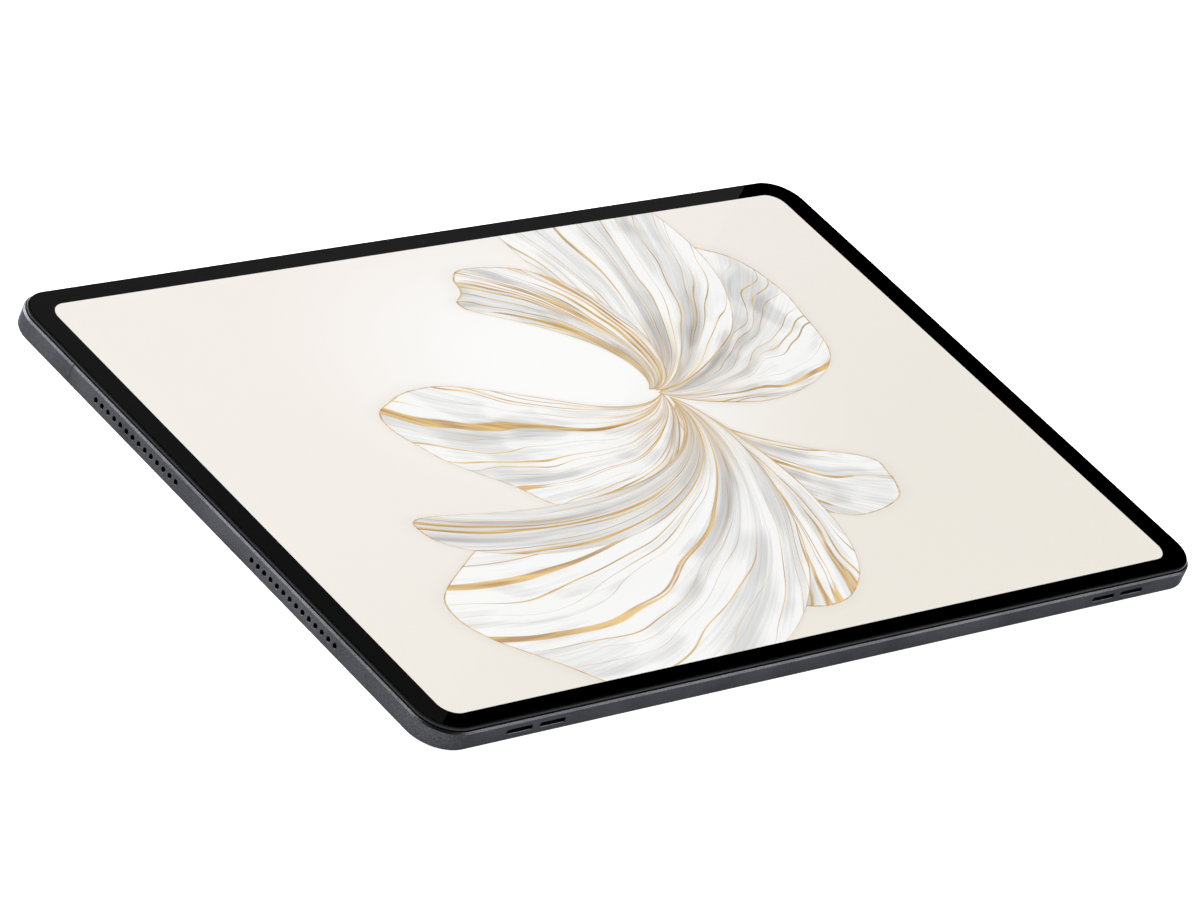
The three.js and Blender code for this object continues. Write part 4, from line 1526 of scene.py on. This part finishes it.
class TABLET_OT_stage(Operator):
    """Build the pale floor, the soft lights and the camera"""

    bl_idname = "tablet.stage"
    bl_label = "Stage"

    def execute(self, context):
        stage = settings("tablet_stage")
        self.build_camera(context.scene, stage)
        self.build_floor(stage)
        self.build_lights(context.scene, stage)
        return {"FINISHED"}

    def camera_place(self, stage):
        flat = math.cos(stage.elevation)
        forward = Vector((
            -math.sin(stage.azimuth) * flat,
            math.cos(stage.azimuth) * flat,
            -math.sin(stage.elevation),
        ))
        return Vector(stage.aim) - forward * stage.distance, forward

    def build_camera(self, scene, stage):
        where, forward = self.camera_place(stage)
        camera = bpy.data.objects.new("studio_camera", bpy.data.cameras.new("studio_camera"))
        scene.collection.objects.link(camera)
        camera.matrix_world = Matrix.Translation(where) @ look_matrix(forward, stage.roll).to_4x4()
        camera.data.sensor_width = 36.0
        camera.data.lens = stage.lens
        camera.data.clip_start = 0.05
        camera.data.clip_end = 60.0
        scene.camera = camera
        scene.view_settings.view_transform = "Standard"
        scene.view_settings.look = "None"

    def build_floor(self, stage):
        form = bmesh.new()
        half = 7.0
        square = ((-half, -half), (half, -half), (half, half), (-half, half))
        form.faces.new([form.verts.new((x, y, 0.0)) for x, y in square])
        floor = make_piece("studio_floor", form)
        floor.location.z = CAD_BOX[0].z - 0.05 * MM

        def surface(sketch):
            cloud = sketch.noise(sketch.place(), 3.0, 2.0)
            pale = tuple(stage.floor_colour)
            paler = tuple(min(1.0, part + 0.02) for part in pale)
            return {
                "Base Color": sketch.blend(cloud, pale, paler),
                "Roughness": 0.9,
                "Specular IOR Level": 0.1,
                "Emission Color": (1.0, 1.0, 1.0),
                "Emission Strength": stage.floor_glow,
            }

        paint(floor, material("pale_floor", surface))

    def build_lights(self, scene, stage):
        world = bpy.data.worlds.new("dark_studio")
        scene.world = world
        world.use_nodes = True
        world.node_tree.nodes["Background"].inputs["Color"].default_value = (0, 0, 0, 1)
        soft_light("overhead_light", (0.0, 0.0, 3.0), (1.2, 1.2), 5.0)
        glass = bpy.data.objects["front_glass"]
        for lamp in (
            soft_light("back_left_light", (-1.52, 1.55, 2.08), (1.4, 1.4), 52.0),
            soft_light("front_right_light", (2.08, -1.52, 1.55), (1.4, 1.4), 62.0),
            soft_light("low_back_light", (-0.50, 2.85, 0.80), (4.4, 1.4), 470.0),
        ):
            keep_off(lamp, glass)
        self.build_reflected_panel(stage)

    def build_reflected_panel(self, stage):
        """A dim panel whose straight edge is mirrored across the glass from corner to corner."""
        where, _ = self.camera_place(stage)
        top = GLASS_HIGH.z
        mirrored = Vector((where.x, where.y, 2 * top - where.z))
        first = Vector((-0.1430, -0.0902, top))
        second = Vector((0.1430, 0.1006, top))
        throw = 2.6
        near = mirrored + (first - mirrored) * throw
        far = mirrored + (second - mirrored) * throw
        centre = (near + far) / 2
        edge = (far - near).normalized()
        ray = (centre - mirrored).normalized()
        across = edge.cross(ray).normalized()
        far_left = Vector((-0.6, 0.8, 0.0))
        if across.dot(far_left) < 0:
            across = -across
        axes = Matrix((edge, across, edge.cross(across))).transposed()
        form = bmesh.new()
        half, rise = 1.0, 1.1
        corners = ((-half, 0.0), (half, 0.0), (half, rise), (-half, rise))
        form.faces.new([form.verts.new((x, y, 0.0)) for x, y in corners])
        panel = make_piece("dim_panel", form)
        panel.matrix_world = Matrix.Translation(centre) @ axes.to_4x4()

        def level(sketch, x, y):
            return 0.075 + sketch.ease(x, -0.45, 0.05) * 0.09 + sketch.ease(y, 0.1, 0.6) * 0.04

        paint(panel, emitter("dim_panel_glow", level))
        panel.visible_camera = False


# ---------------------------------------------------------------- add-on


class TABLET_PT_parts(Panel):
    """Lists the steps that build the tablet"""

    bl_label = "Slab Tablet"
    bl_idname = "TABLET_PT_parts"
    bl_space_type = "VIEW_3D"
    bl_region_type = "UI"
    bl_category = "Tablet"

    def draw(self, context):
        for operator in OPERATORS:
            self.layout.operator(operator.bl_idname)


OPERATORS = (
    TABLET_OT_housing,
    TABLET_OT_front,
    TABLET_OT_keys,
    TABLET_OT_cameras,
    TABLET_OT_port,
    TABLET_OT_inner_parts,
    TABLET_OT_stage,
)


def register():
    for group in SETTINGS.values():
        bpy.utils.register_class(group)
    for name, group in SETTINGS.items():
        setattr(bpy.types.Scene, name, PointerProperty(type=group))
    for operator in OPERATORS:
        bpy.utils.register_class(operator)
    bpy.utils.register_class(TABLET_PT_parts)


def unregister():
    bpy.utils.unregister_class(TABLET_PT_parts)
    for operator in reversed(OPERATORS):
        bpy.utils.unregister_class(operator)
    for name in SETTINGS:
        delattr(bpy.types.Scene, name)
    for group in reversed(SETTINGS.values()):
        bpy.utils.unregister_class(group)


def main():
    register()
    for operator in OPERATORS:
        category, name = operator.bl_idname.split(".")
        getattr(getattr(bpy.ops, category), name)()


if __name__ == "__main__":
    main()
